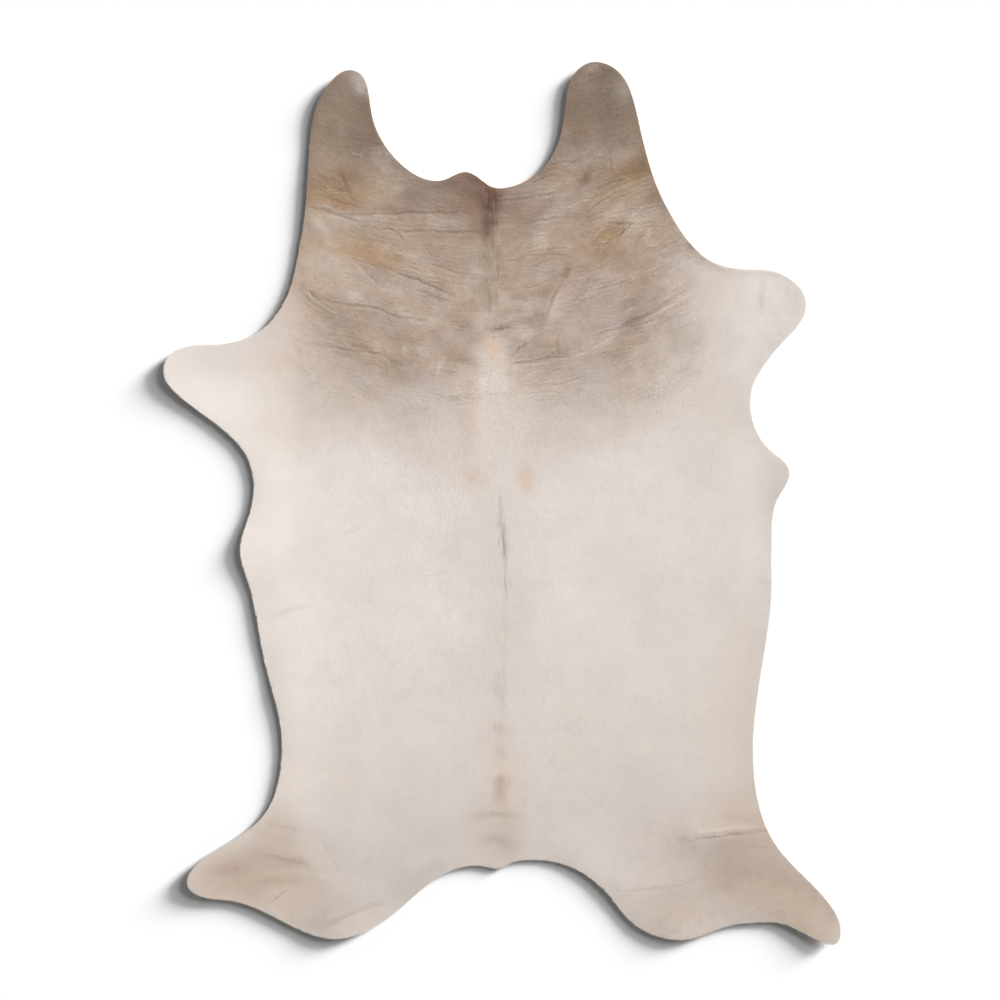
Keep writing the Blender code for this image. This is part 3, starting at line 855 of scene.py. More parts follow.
def triangulated(loop, points):
    """Plan points and triangles that fill a closed loop through the given inner points."""
    flat = [Vector(point) for point in np.vstack([loop, points])]
    border = [list(range(len(loop)))]
    corners, _, triangles, _, _, _ = delaunay_2d_cdt(flat, [], border, INSIDE_ONLY, MERGE_WITHIN)
    return np.array([corner[:] for corner in corners]), np.array([list(face) for face in triangles])


def skin_places():
    """Points and faces of the skin, and the number of the finish of each face."""
    inner_edge = inward(leather_edge, ROUNDING)
    top_plan, top_faces = triangulated(inner_edge, hair_side_points)
    under_plan, under_faces = triangulated(inner_edge, flesh_side_points)
    top = look_up(height, top_plan) - UNDER_HAIR
    under = np.maximum(look_up(height, under_plan) - LEATHER, FLOOR_GAP)
    rim_top = look_up(height, leather_edge)
    rim_under = np.maximum(rim_top - LEATHER, FLOOR_GAP)
    rings = [
        np.column_stack([leather_edge, rim_top - ROUNDING]),
        np.column_stack([leather_edge, rim_under + ROUNDING]),
    ]
    points = np.vstack([np.column_stack([top_plan, top]), np.column_stack([under_plan, under]), *rings])
    around = len(leather_edge)
    starts = [0, len(top_plan) + len(under_plan), len(top_plan) + len(under_plan) + around, len(top_plan)]
    here = np.arange(around)
    there = (here + 1) % around
    walls = []
    for upper, lower in zip(starts[:-1], starts[1:]):
        walls.append(np.column_stack([upper + here, lower + here, lower + there, upper + there]))
    faces = top_faces.tolist() + (under_faces[:, ::-1] + len(top_plan)).tolist()
    faces += [face for wall in walls for face in wall.tolist()]
    finish = [HAIR_SIDE] * len(top_faces) + [FLESH_SIDE] * len(under_faces)
    finish += [CUT_RIM] * (len(walls) * around)
    return points, faces, finish


skin_points, skin_faces, skin_finish = skin_places()
skin_mesh = bpy.data.meshes.new("skin")
skin_mesh.from_pydata(skin_points.tolist(), [], skin_faces)
skin_mesh.polygons.foreach_set("material_index", skin_finish)
skin = bpy.data.objects.new("skin", skin_mesh)
bpy.context.scene.collection.objects.link(skin)
print(f"skin: {len(skin_mesh.polygons)} faces")

# %% [markdown]
# ## The colours of the coat
#
# The coat has few colours: cream on the body, taupe on the neck and shoulders, tan on the hind legs, and
# touches of gold, russet, umber, mauve and olive grey between. They are mixed on the plan as a painter
# would: the big fields first, then soft patches, then the lines of the creases. Colours are written
# as the eye reads them, 0 to 255, and turned into shares of light for mixing.

# %% Colours of the hair
HAIR_COLOURS = {
    "cream": (229, 221, 215),
    "ivory": (235, 228, 219),
    "beige": (219, 206, 194),
    "oat": (203, 194, 187),
    "lavender": (202, 193, 190),
    "tan": (188, 170, 154),
    "peach": (222, 196, 174),
    "taupe": (184, 163, 146),
    "smoke": (140, 124, 107),
    "olive": (146, 130, 112),
    "gold": (156, 124, 90),
    "honey": (178, 143, 106),
    "straw": (186, 164, 138),
    "russet": (140, 104, 88),
    "mauve": (146, 122, 114),
    "umber": (110, 86, 70),
    "bark": (98, 67, 46),
    "walnut": (88, 55, 40),
}


def share_of_light(colour):
    """A colour as the eye reads it, 0 to 255, as the share of light that it sends back."""
    seen = np.array(colour) / 255
    return np.where(seen <= 0.04045, seen / 12.92, ((seen + 0.055) / 1.055) ** 2.4)


hair_light = {name: share_of_light(colour) for name, colour in HAIR_COLOURS.items()}


def mix_in(colours, name, share):
    """The named hair colour mixed into part of the plan by a share for each place."""
    share = np.clip(share, 0, 1)[..., None]
    return colours * (1 - share) + hair_light[name] * share


# %% [markdown]
# The big fields are drawn with soft steps whose borders are bent by noise. Patches are soft ovals, each
# with its place, half sizes, turn, colour and strength, named for the part of the animal.

# %% Soft patches, given one by one
PATCH_COLUMNS = ("place", "x", "y", "half_x", "half_y", "turn", "colour", "strength")
PATCHES = (
    ("neck, top", -0.040, 0.880, 0.350, 0.115, 0, "smoke", 0.34),
    ("neck, top brown", -0.040, 0.870, 0.300, 0.075, 0, "umber", 0.12),
    ("left neck, deeper", -0.270, 0.620, 0.160, 0.130, 0, "smoke", 0.08),
    ("backbone, straw", -0.028, 0.620, 0.026, 0.130, 0, "straw", 0.20),
    ("backbone, pale left", -0.056, 0.620, 0.018, 0.130, 0, "beige", 0.22),
    ("backbone, dark right", 0.000, 0.648, 0.020, 0.062, 0, "umber", 0.22),
    ("left neck flap", -0.430, 1.060, 0.120, 0.170, 0, "smoke", 0.89),
    ("left neck flap, brown", -0.420, 1.020, 0.100, 0.150, 0, "umber", 0.16),
    ("left neck flap, pale tip", -0.384, 1.139, 0.022, 0.032, 20, "cream", 0.40),
    ("left neck flap, light bar", -0.370, 1.108, 0.026, 0.007, -40, "cream", 0.24),
    ("left neck flap, rosy", -0.396, 1.030, 0.030, 0.020, 0, "russet", 0.16),
    ("left neck flap, dark", -0.366, 0.968, 0.056, 0.046, 0, "umber", 0.34),
    ("left neck flap, inner smudge", -0.343, 0.966, 0.034, 0.022, -20, "umber", 0.34),
    ("left neck flap, light streaks", -0.318, 0.940, 0.026, 0.012, -35, "cream", 0.14),
    ("left neck flap, outer edge", -0.490, 1.000, 0.022, 0.080, -8, "straw", 0.22),
    ("left neck, gold corner", -0.452, 0.850, 0.082, 0.044, 0, "gold", 0.93),
    ("left neck, brown corner", -0.446, 0.862, 0.074, 0.038, 4, "umber", 0.32),
    ("left neck, brown band", -0.216, 0.792, 0.080, 0.018, 0, "umber", 0.24),
    ("left neck, brown band, lower", -0.176, 0.736, 0.054, 0.018, 0, "umber", 0.22),
    ("right neck, brown band", 0.150, 0.772, 0.054, 0.016, 4, "umber", 0.16),
    ("left neck, brown knot", -0.424, 0.864, 0.024, 0.022, 30, "umber", 0.44),
    ("left neck, gold band", -0.438, 0.816, 0.060, 0.022, -6, "gold", 0.94),
    ("left neck, straw edge", -0.500, 0.790, 0.046, 0.014, -4, "straw", 0.50),
    ("left neck, straw bands", -0.380, 0.838, 0.130, 0.040, -4, "straw", 0.40),
    ("left neck, rosy brown", -0.313, 0.792, 0.038, 0.018, -8, "gold", 0.60),
    ("left neck, rosy tail", -0.279, 0.781, 0.030, 0.013, -6, "russet", 0.32),
    ("left neck, mauve", -0.236, 0.828, 0.044, 0.020, 0, "mauve", 0.60),
    ("left of the nape", -0.122, 0.790, 0.034, 0.018, 0, "russet", 0.46),
    ("left of the nape, top", -0.200, 0.820, 0.100, 0.036, 0, "smoke", 0.30),
    ("right of the nape, pale", 0.052, 0.832, 0.050, 0.034, 0, "beige", 0.34),
    ("nape, round", -0.040, 0.815, 0.110, 0.080, 0, "russet", 0.56),
    ("nape, upper limb", -0.058, 0.866, 0.052, 0.022, -38, "walnut", 0.62),
    ("nape, left limb", -0.092, 0.838, 0.050, 0.020, -34, "umber", 0.44),
    ("nape, right edge", 0.006, 0.816, 0.022, 0.030, 0, "taupe", 0.50),
    ("nape, low left", -0.072, 0.736, 0.034, 0.015, 0, "russet", 0.42),
    ("nape, darkest", -0.035, 0.803, 0.028, 0.046, 0, "walnut", 0.80),
    ("nape, lower", -0.045, 0.744, 0.022, 0.034, 0, "walnut", 0.56),
    ("left shoulder, straw band", -0.489, 0.697, 0.062, 0.022, -6, "straw", 0.46),
    ("left shoulder, gold", -0.358, 0.668, 0.080, 0.036, -18, "honey", 0.64),
    ("left shoulder, gold core", -0.350, 0.654, 0.040, 0.016, -16, "gold", 0.34),
    ("left shoulder, gold tail", -0.450, 0.690, 0.070, 0.018, -16, "honey", 0.34),
    ("left shoulder, warm", -0.316, 0.520, 0.040, 0.022, -10, "straw", 0.34),
    ("left shoulder, pale edge", -0.480, 0.660, 0.050, 0.040, 0, "beige", 0.34),
    ("left shoulder, pale", -0.410, 0.600, 0.120, 0.065, -8, "beige", 0.18),
    ("left neck, below the gold", -0.410, 0.762, 0.055, 0.020, 0, "beige", 0.38),
    ("left shoulder, rosy", -0.330, 0.620, 0.038, 0.018, -20, "russet", 0.18),
    ("left shoulder, olive", -0.430, 0.490, 0.046, 0.032, -10, "smoke", 0.46),
    ("left shoulder, bundle", -0.430, 0.440, 0.072, 0.030, -14, "olive", 0.36),
    ("left withers, dark triangle", -0.292, 0.384, 0.028, 0.034, 0, "smoke", 0.30),
    ("left withers, lavender", -0.205, 0.413, 0.026, 0.020, 0, "lavender", 0.34),
    ("left neck, lavender", -0.187, 0.540, 0.016, 0.024, 0, "lavender", 0.32),
    ("left withers, light point", -0.270, 0.416, 0.011, 0.014, 0, "cream", 0.26),
    ("left of the mane, dark", -0.110, 0.392, 0.040, 0.024, 0, "olive", 0.14),
    ("withers, mauve", -0.103, 0.475, 0.024, 0.015, 0, "mauve", 0.42),
    ("mane, light above", -0.049, 0.496, 0.024, 0.026, 0, "beige", 0.50),
    ("withers, gold", -0.032, 0.472, 0.012, 0.006, 10, "gold", 0.55),
    ("withers, dark tick", 0.008, 0.472, 0.022, 0.009, 8, "umber", 0.50),
    ("right neck flap", 0.265, 1.080, 0.120, 0.160, 0, "smoke", 0.95),
    ("right neck flap, brown", 0.254, 1.040, 0.110, 0.140, 0, "umber", 0.26),
    ("right neck flap, light corner", 0.324, 1.125, 0.020, 0.032, -14, "cream", 0.18),
    ("right neck flap, top light", 0.245, 1.166, 0.020, 0.008, 15, "cream", 0.20),
    ("right neck flap, dark", 0.202, 1.020, 0.028, 0.045, 0, "umber", 0.20),
    ("right neck flap, red spot", 0.213, 1.000, 0.008, 0.007, 0, "russet", 0.40),
    ("right neck flap, light bar", 0.345, 1.015, 0.032, 0.011, 6, "straw", 0.26),
    ("right neck flap, dark spot", 0.332, 0.966, 0.013, 0.011, 0, "umber", 0.28),
    ("right neck flap, light mid", 0.262, 0.946, 0.050, 0.022, 20, "cream", 0.11),
    ("right neck, rosy blotch", 0.221, 0.872, 0.038, 0.014, 28, "russet", 0.56),
    ("right neck, gold brown", 0.352, 0.898, 0.064, 0.036, 8, "gold", 0.92),
    ("right neck, brown corner", 0.378, 0.908, 0.030, 0.026, 8, "umber", 0.30),
    ("right neck, gold streak", 0.305, 0.838, 0.105, 0.022, 22, "straw", 0.55),
    ("right neck, gold tail", 0.372, 0.818, 0.060, 0.024, 10, "gold", 0.34),
    ("right neck, olive edge", 0.402, 0.832, 0.028, 0.018, 10, "smoke", 0.42),
    ("right neck, rosy core", 0.222, 0.874, 0.015, 0.010, 35, "umber", 0.42),
    ("right neck, gold", 0.282, 0.716, 0.066, 0.046, 30, "honey", 0.76),
    ("right neck, rust", 0.268, 0.686, 0.026, 0.018, 50, "gold", 0.46),
    ("right neck, gold corner", 0.322, 0.744, 0.026, 0.016, 30, "gold", 0.34),
    ("right neck, straw point", 0.390, 0.746, 0.050, 0.012, 6, "straw", 0.40),
    ("right shoulder, edge spot", 0.508, 0.701, 0.011, 0.009, 0, "umber", 0.55),
    ("right shoulder, vein head", 0.173, 0.629, 0.024, 0.010, 58, "russet", 0.50),
    ("right neck, rosy strokes", 0.104, 0.668, 0.030, 0.014, 5, "russet", 0.18),
    ("right shoulder, mottled", 0.394, 0.575, 0.036, 0.036, 20, "smoke", 0.18),
    ("right shoulder, darkest", 0.340, 0.486, 0.036, 0.018, 28, "mauve", 0.40),
    ("right shoulder, olive", 0.421, 0.477, 0.036, 0.020, 0, "olive", 0.16),
    ("right shoulder, dark left", 0.086, 0.455, 0.016, 0.018, 0, "smoke", 0.12),
    ("right shoulder, dark inner", 0.150, 0.462, 0.014, 0.026, 0, "smoke", 0.28),
    ("right shoulder, pale", 0.240, 0.500, 0.110, 0.095, 0, "lavender", 0.30),
    ("right shoulder, pale edge", 0.510, 0.650, 0.050, 0.034, -20, "cream", 0.40),
    ("right withers, low dark", 0.313, 0.374, 0.045, 0.022, 8, "olive", 0.12),
    ("right withers, tan", 0.351, 0.307, 0.080, 0.030, 0, "tan", 0.16),
    ("right withers, lavender", 0.237, 0.350, 0.070, 0.050, 0, "lavender", 0.34),
    ("left withers, low lavender", -0.249, 0.283, 0.075, 0.030, 0, "lavender", 0.34),
    ("left shoulder, tan", -0.424, 0.268, 0.090, 0.036, 0, "tan", 0.18),
    ("mane, left side", -0.090, 0.230, 0.034, 0.100, 0, "straw", 0.22),
    ("mane, right side", 0.070, 0.240, 0.030, 0.090, 0, "beige", 0.60),
    ("mane, middle", -0.018, 0.300, 0.056, 0.160, 0, "beige", 0.72),
    ("mane, straw right", 0.030, 0.300, 0.020, 0.100, 0, "straw", 0.16),
    ("mane, warm", -0.018, 0.270, 0.064, 0.150, 0, "peach", 0.16),
    ("mane, warm left", -0.084, 0.236, 0.026, 0.070, 0, "peach", 0.30),
    ("mane, peach", -0.022, 0.418, 0.018, 0.036, 0, "peach", 0.85),
    ("mane, peach right", -0.004, 0.402, 0.014, 0.030, 0, "peach", 0.40),
    ("right of the mane, pale", 0.070, 0.444, 0.034, 0.032, 0, "beige", 0.55),
    ("backbone, left peach", -0.080, 0.070, 0.042, 0.028, 0, "peach", 0.50),
    ("backbone, right tan", 0.058, 0.086, 0.022, 0.030, 0, "tan", 0.16),
    ("backbone, right peach", 0.062, 0.068, 0.027, 0.038, 0, "peach", 0.76),
    ("back, left of the mane", -0.160, 0.095, 0.110, 0.080, 0, "tan", 0.22),
    ("back, right of the mane", 0.140, 0.135, 0.120, 0.070, 0, "tan", 0.22),
    ("backbone", -0.010, -0.260, 0.090, 0.420, 0, "oat", 0.26),
    ("back, rosy", 0.005, -0.115, 0.011, 0.050, 0, "russet", 0.12),
    ("back, first blotch", -0.006, -0.497, 0.014, 0.034, 0, "tan", 0.32),
    ("back, second blotch", -0.004, -0.612, 0.026, 0.013, -18, "tan", 0.44),
    ("back, third blotch", -0.006, -0.668, 0.020, 0.024, 0, "tan", 0.40),
    ("loin, band", -0.006, -0.760, 0.050, 0.160, 0, "peach", 0.36),
    ("loin, tan", -0.006, -0.770, 0.018, 0.040, 0, "gold", 0.40),
    ("loin, tan, upper", -0.008, -0.742, 0.030, 0.012, 0, "gold", 0.20),
    ("loin, brown", -0.020, -0.846, 0.052, 0.009, 0, "umber", 0.34),
    ("tail, tan", -0.020, -0.900, 0.080, 0.090, 0, "tan", 0.40),
    ("tail, brown", -0.020, -0.914, 0.042, 0.014, 0, "umber", 0.22),
    ("right side, tan fleck", 0.545, 0.056, 0.030, 0.012, 0, "gold", 0.08),
    ("right flank, beige", 0.660, -0.560, 0.075, 0.220, 0, "beige", 0.65),
    ("right flank, tan", 0.650, -0.820, 0.090, 0.070, 0, "tan", 0.40),
    ("right flank, peach", 0.640, -0.700, 0.070, 0.200, 0, "peach", 0.20),
    ("left flank, beige", -0.600, -0.780, 0.060, 0.120, 0, "beige", 0.35),
    ("left rump, lavender", -0.330, -0.900, 0.200, 0.110, 0, "lavender", 0.10),
    ("right rump, lavender", 0.300, -0.850, 0.200, 0.130, 0, "lavender", 0.16),
    ("left thigh", -0.610, -0.900, 0.075, 0.070, 40, "tan", 0.70),
    ("left hind leg", -0.700, -1.010, 0.190, 0.100, 10, "tan", 0.92),
    ("left hind leg, inner", -0.550, -1.080, 0.100, 0.090, 0, "tan", 0.60),
    ("left hind leg, warm", -0.560, -1.010, 0.080, 0.070, 0, "peach", 0.20),
    ("left rump, pale edge", -0.190, -0.960, 0.070, 0.032, 35, "cream", 0.50),
    ("right rump, inner", 0.330, -1.010, 0.080, 0.060, 0, "oat", 0.45),
    ("right thigh, warm", 0.620, -0.870, 0.110, 0.060, 0, "peach", 0.28),
    ("left hind leg, shade", -0.680, -1.000, 0.150, 0.080, 8, "smoke", 0.18),
    ("left hind leg, smudge", -0.738, -0.990, 0.050, 0.022, 0, "mauve", 0.34),
    ("left hind leg, dark", -0.560, -0.972, 0.050, 0.016, -8, "umber", 0.12),
    ("left hind leg, low streak", -0.600, -1.020, 0.066, 0.015, 6, "umber", 0.18),
    ("right thigh", 0.690, -0.900, 0.090, 0.050, -10, "tan", 0.62),
    ("right hind leg", 0.700, -1.020, 0.230, 0.110, -16, "tan", 0.95),
    ("right hind leg, end", 0.840, -1.110, 0.090, 0.090, -40, "tan", 0.80),
    ("right hind leg, shade", 0.780, -1.110, 0.120, 0.080, -40, "olive", 0.24),
    ("right hind leg, dark", 0.600, -1.010, 0.085, 0.050, 0, "smoke", 0.14),
    ("right thigh, above the crease", 0.640, -0.850, 0.062, 0.016, 4, "tan", 0.36),
    ("right thigh, below the crease", 0.600, -0.950, 0.070, 0.030, 4, "umber", 0.08),
    ("right rump", 0.470, -1.110, 0.120, 0.080, 0, "tan", 0.60),
    ("left rump", -0.400, -1.120, 0.110, 0.060, 0, "tan", 0.16),
    # the oat on the left foreleg is painted shade: it darkens the lifted leg, which comes out lighter than
    # the flat middle in this low light
    ("left foreleg", -0.760, 0.395, 0.180, 0.085, 0, "oat", 0.52),
    ("left foreleg, warm root", -0.620, 0.380, 0.100, 0.050, 0, "peach", 0.24),
    ("right side, pale edge", 0.690, 0.130, 0.060, 0.150, 0, "ivory", 0.45),
    ("left side, edge", -0.640, -0.260, 0.075, 0.520, 7, "oat", 0.30),
    ("right foreleg", 0.690, 0.530, 0.110, 0.100, 0, "ivory", 0.14),
    ("right shoulder, grey", 0.540, 0.120, 0.110, 0.130, 0, "oat", 0.18),
    ("right ribs", 0.520, -0.180, 0.240, 0.360, 0, "oat", 0.12),
    ("right loin", 0.450, -0.620, 0.240, 0.300, 0, "beige", 0.16),
)
print(f"{len(PATCHES)} soft patches")

# %% [markdown]
# The taupe fades towards the body over a hand's width or two, and nowhere alike: further down at the
# left than at the right, and not at all along the mane, a pale band over the backbone. Where the fade
# starts and ends is placed at a dozen points across the hide, and read off between them.

# %% Where the taupe of the neck fades
NECK_FADE_COLUMNS = ("x", "full_above", "gone_below")
NECK_FADE = (
    (-0.546, 0.575, 0.089),
    (-0.492, 0.480, 0.102),
    (-0.438, 0.426, 0.116),
    (-0.276, 0.364, 0.084),
    (-0.168, 0.400, 0.075),
    (-0.087, 0.410, 0.085),
    (0.075, 0.400, 0.110),
    (0.156, 0.405, 0.108),
    (0.318, 0.385, 0.116),
    (0.372, 0.430, 0.125),
    (0.426, 0.486, 0.137),
    (0.507, 0.440, 0.130),
)
neck_fade = dict(zip(NECK_FADE_COLUMNS, np.transpose(NECK_FADE)))
NECK_FADE_CURVE = 1.35  # 1 would fade evenly, and more gives a longer tail
LEFT_SIDE = ((-0.695, 0.0), (-0.648, 0.28), (-0.573, 0.70), (-0.537, 1.0))  # x and share of the taupe
RIGHT_SIDE = ((0.380, 1.0), (0.460, 0.64), (0.515, 0.38), (0.560, 0.18), (0.660, 0.0))
SIDES_BELOW = (0.610, 0.690)  # the sides fade only below the roots of the forelegs
BACKBONE_X = -0.018  # the mane's rows are a place along y and the half width there
MANE = ((0.10, 0.075), (0.22, 0.066), (0.33, 0.054), (0.40, 0.042), (0.44, 0.030), (0.49, 0.016))
MANE_SOFTNESS = 0.034
MANE_FADE = (0.485, 0.40)  # from none to all of the taupe gone, downwards


def taupe_share(x, y):
    """How much of the neck's taupe a place has, from 0 on the body to 1."""
    full, gone = (np.interp(x, neck_fade["x"], neck_fade[column]) for column in NECK_FADE_COLUMNS[1:])
    down = np.clip((y - gone) / (full - gone), 0, 1) ** NECK_FADE_CURVE
    left, right = (np.interp(x, *np.transpose(side)) for side in (LEFT_SIDE, RIGHT_SIDE))
    above = smooth_step(y, *SIDES_BELOW)
    half_width = np.interp(y, *np.transpose(MANE))
    mane = 1 - smooth_step(np.abs(x - BACKBONE_X), half_width - MANE_SOFTNESS, half_width + MANE_SOFTNESS)
    mane *= np.clip((MANE_FADE[0] - y) / (MANE_FADE[0] - MANE_FADE[1]), 0, 1)
    return down * (above + (1 - above) * left * right) * (1 - mane)


# %% [markdown]
# Now everything is mixed in order: the cream body, the taupe of the neck with its blots, the darker rim
# round the neck, the patches as their table gives them, and last the lines. A colour laid later covers
# what lies under it, as in paint, so the wide patches come first. A place's coordinates are bent a
# little before they are looked at, or every border would be a perfect oval.

# %% Mixing the coat's colours
BORDER_BEND = 0.010
BORDER_BEND_SIZE = 0.050
# troughs are coloured darker, partly for darker hair and partly as painted shade; ridges lighter, partly for
# paler hair and partly as painted highlight
TROUGH_TINT_AND_SHADE, RIDGE_TINT_AND_HIGHLIGHT = 1.70, 0.90  # how strongly troughs and ridges are coloured, for all at once
LINE_CORE = 0.62  # of a line's half width, which its colour keeps to
NECK_EDGE = ("umber", 0.42, 0.034)  # colour, share and reach of the darker rim round the neck
NECK_EDGE_FROM, NECK_EDGE_FULL = 0.72, 0.88
BEIGE_UNDER_TAUPE = 0.7
MOTTLES = (
    ("lavender", 0.060, 0.40, 81),
    ("straw", 0.075, 0.28, 85),
    ("olive", 0.038, 0.28, 89),
    ("russet", 0.026, 0.16, 93),
    ("beige", 0.045, 0.40, 97),
)  # colour, size, share and seed
BLOT_LENGTH = 1.5  # along the neck's sweep, for a width of 1
BLOT_FROM, BLOT_FULL = 0.1, 1.1  # of the noise
RUMP_FROM, RUMP_TO = -0.05, -1.07  # the body darkens from cream to oat between these
RUMP_CURVE = 1.8  # 1 would darken evenly, and more keeps the cream for longer
BODY_BEIGE, BODY_BEIGE_VARIES, BODY_BEIGE_SIZE = 0.10, 0.22, 0.16  # the size is that of its clouds
BODY_LAVENDER_VARIES, BODY_LAVENDER_SIZE = 0.12, 0.13
PATCH_EDGE = 2.4  # 2 would be a bell curve, and more gives a flatter middle and a clearer edge

bent_x = plan_x + BORDER_BEND * layered_noise(plan_x, plan_y, BORDER_BEND_SIZE, seed=31)
bent_y = plan_y + BORDER_BEND * layered_noise(plan_x, plan_y, BORDER_BEND_SIZE, seed=35)
coat = np.ones((*plan_x.shape, 3)) * hair_light["cream"]
towards_rump = np.clip((bent_y - RUMP_FROM) / (RUMP_TO - RUMP_FROM), 0, 1)
coat = mix_in(coat, "oat", towards_rump**RUMP_CURVE)
beige_clouds = layered_noise(plan_x, plan_y, BODY_BEIGE_SIZE, seed=51)
coat = mix_in(coat, "beige", BODY_BEIGE + BODY_BEIGE_VARIES * beige_clouds)
lavender_clouds = layered_noise(plan_x, plan_y, BODY_LAVENDER_SIZE, seed=54)
coat = mix_in(coat, "lavender", BODY_LAVENDER_VARIES * lavender_clouds)
neck = taupe_share(bent_x, bent_y)
coat = mix_in(coat, "beige", BEIGE_UNDER_TAUPE * np.sqrt(neck))
coat = mix_in(coat, "taupe", neck)
for name, size, share, seed in MOTTLES:
    blots = layered_noise(plan_x / BLOT_LENGTH, sweep(plan_y), size, seed)
    coat = mix_in(coat, name, share * neck * smooth_step(blots, BLOT_FROM, BLOT_FULL))
name, share, reach = NECK_EDGE
rim = np.exp(-((np.maximum(room, 0) / reach) ** 2)) * smooth_step(plan_y, NECK_EDGE_FROM, NECK_EDGE_FULL)
coat = mix_in(coat, name, share * rim)

for row in PATCHES:
    patch = dict(zip(PATCH_COLUMNS, row))
    turn = math.radians(patch["turn"])
    from_x, from_y = bent_x - patch["x"], bent_y - patch["y"]
    along = (from_x * math.cos(turn) + from_y * math.sin(turn)) / patch["half_x"]
    across = (from_y * math.cos(turn) - from_x * math.sin(turn)) / patch["half_y"]
    cover = np.exp(-(np.hypot(along, across) ** PATCH_EDGE))
    coat = mix_in(coat, patch["colour"], patch["strength"] * cover)

# Each line's colour: in a trough partly darker hair and partly painted shade, on a ridge partly paler hair
# and partly painted highlight.
for line in lines:
    part, beside, fade = near_line(line)
    tint = RIDGE_TINT_AND_HIGHLIGHT if line["depth"] > 0 else TROUGH_TINT_AND_SHADE
    share = tint * line["strength"] * fade * np.exp(-((beside / LINE_CORE) ** 2))
    coat[part] = mix_in(coat[part], line["colour"], share)

# %% [markdown]
# After the mixing, no part of the coat is quite as light as the next. Streaks follow the neck's sweep,
# mottles and specks lie on the neck and the hind legs, and the body has only a breath of streaks and
# mottles.

# %% Unevenness of the coat
STREAK, FINE_STREAK, BODY_STREAK = (0.085, 0.012), (0.030, 0.006), (0.140, 0.018)  # length and width
FINE_STREAKS = 0.7  # of the long ones' strength
MOTTLE_SIZE, SPECK_SIZE, BODY_MOTTLE_SIZE = 0.036, 0.012, 0.050
MOTTLE_LENGTH = 1.6  # along the neck's sweep, for a width of 1
NECK_STREAKS, NECK_MOTTLE, NECK_SPECKS = 0.028, 0.050, 0.036  # of the colour's own light
LEG_MOTTLE, LEG_SPECKS = 0.022, 0.030
BODY_STREAKS, BODY_MOTTLE = 0.007, 0.010
HIND_LEGS_BELOW = (0.78, 0.98)  # how far tailwards they start, and where they are reached
HIND_LEGS_BESIDE = (0.42, 0.56)  # the same to each side

streaks = soft_noise(plan_x, sweep(plan_y), *STREAK, seed=61, turn=0)
streaks += FINE_STREAKS * soft_noise(plan_x, sweep(plan_y), *FINE_STREAK, seed=62, turn=0)
mottle = layered_noise(plan_x / MOTTLE_LENGTH, sweep(plan_y), MOTTLE_SIZE, seed=64)
specks = layered_noise(plan_x, plan_y, SPECK_SIZE, seed=66, layers=2)
body_streaks = soft_noise(plan_x, plan_y, *BODY_STREAK, seed=69, turn=0)
body_mottle = layered_noise(plan_x, plan_y, BODY_MOTTLE_SIZE, seed=74, layers=2)
on_hind_legs = smooth_step(-plan_y, *HIND_LEGS_BELOW) * smooth_step(np.abs(plan_x), *HIND_LEGS_BESIDE)
unevenness = on_neck * (NECK_STREAKS * streaks + NECK_MOTTLE * mottle + NECK_SPECKS * specks)
unevenness += on_hind_legs * (LEG_MOTTLE * mottle + LEG_SPECKS * specks)
unevenness += BODY_STREAKS * body_streaks + BODY_MOTTLE * body_mottle
coat *= (1 + unevenness)[..., None]
print(f"coat: lightest {coat.max():.2f}, darkest {coat[room > 0].min():.2f}")

# %% [markdown]
# ## Finishes of the leather
#
# The hair side of the skin hardly shows between the hairs, so it takes the coat's colours, darkened as
# painted shade between the hairs. The flesh side is suede: buffed, pale, dry and a little blotchy. The rim
# shows the raw fibres of the cut.
# Colours that follow the plan are stored on the points, which needs no picture, and so is how wrinkled
# each place is. Everything finer, such as nap and fibres, is noise in the material, because a point
# every few millimetres can't hold it.

# %% Leather finishes
COAT_LIGHT = 0.93  # what the coat sends back in this light, against the same colour on paper
WRINKLED_LEAST = 0.04  # on the body, where the neck has 1
NOISE_MOSTLY = (0.3, 0.7)  # a noise texture's values lie mostly between these
SKIN_GRAIN, SUEDE_BLOTCHES, SUEDE_NAP, RIM_FIBRES = 420, 9, 900, 1400  # waves a metre
SUEDE_COLOUR = (0.62, 0.56, 0.48)  # shares of light: red, green and blue
CUT_COLOUR = (0.55, 0.46, 0.37)

wrinkled = np.clip(on_neck * np.sqrt(neck), WRINKLED_LEAST, 1)


def store_colours(mesh, colours, places):
    """Each point's colour, kept in the mesh as coat_colour, and its share of wrinkles, as wrinkled."""
    kept = mesh.color_attributes.new("coat_colour", "FLOAT_COLOR", "POINT")
    full = np.column_stack([np.clip(colours, 0, 1), np.ones(len(colours))])
    kept.data.foreach_set("color", full.astype(np.float32).ravel())
    share = mesh.attributes.new("wrinkled", "FLOAT", "POINT")
    share.data.foreach_set("value", look_up(wrinkled, places).astype(np.float32))


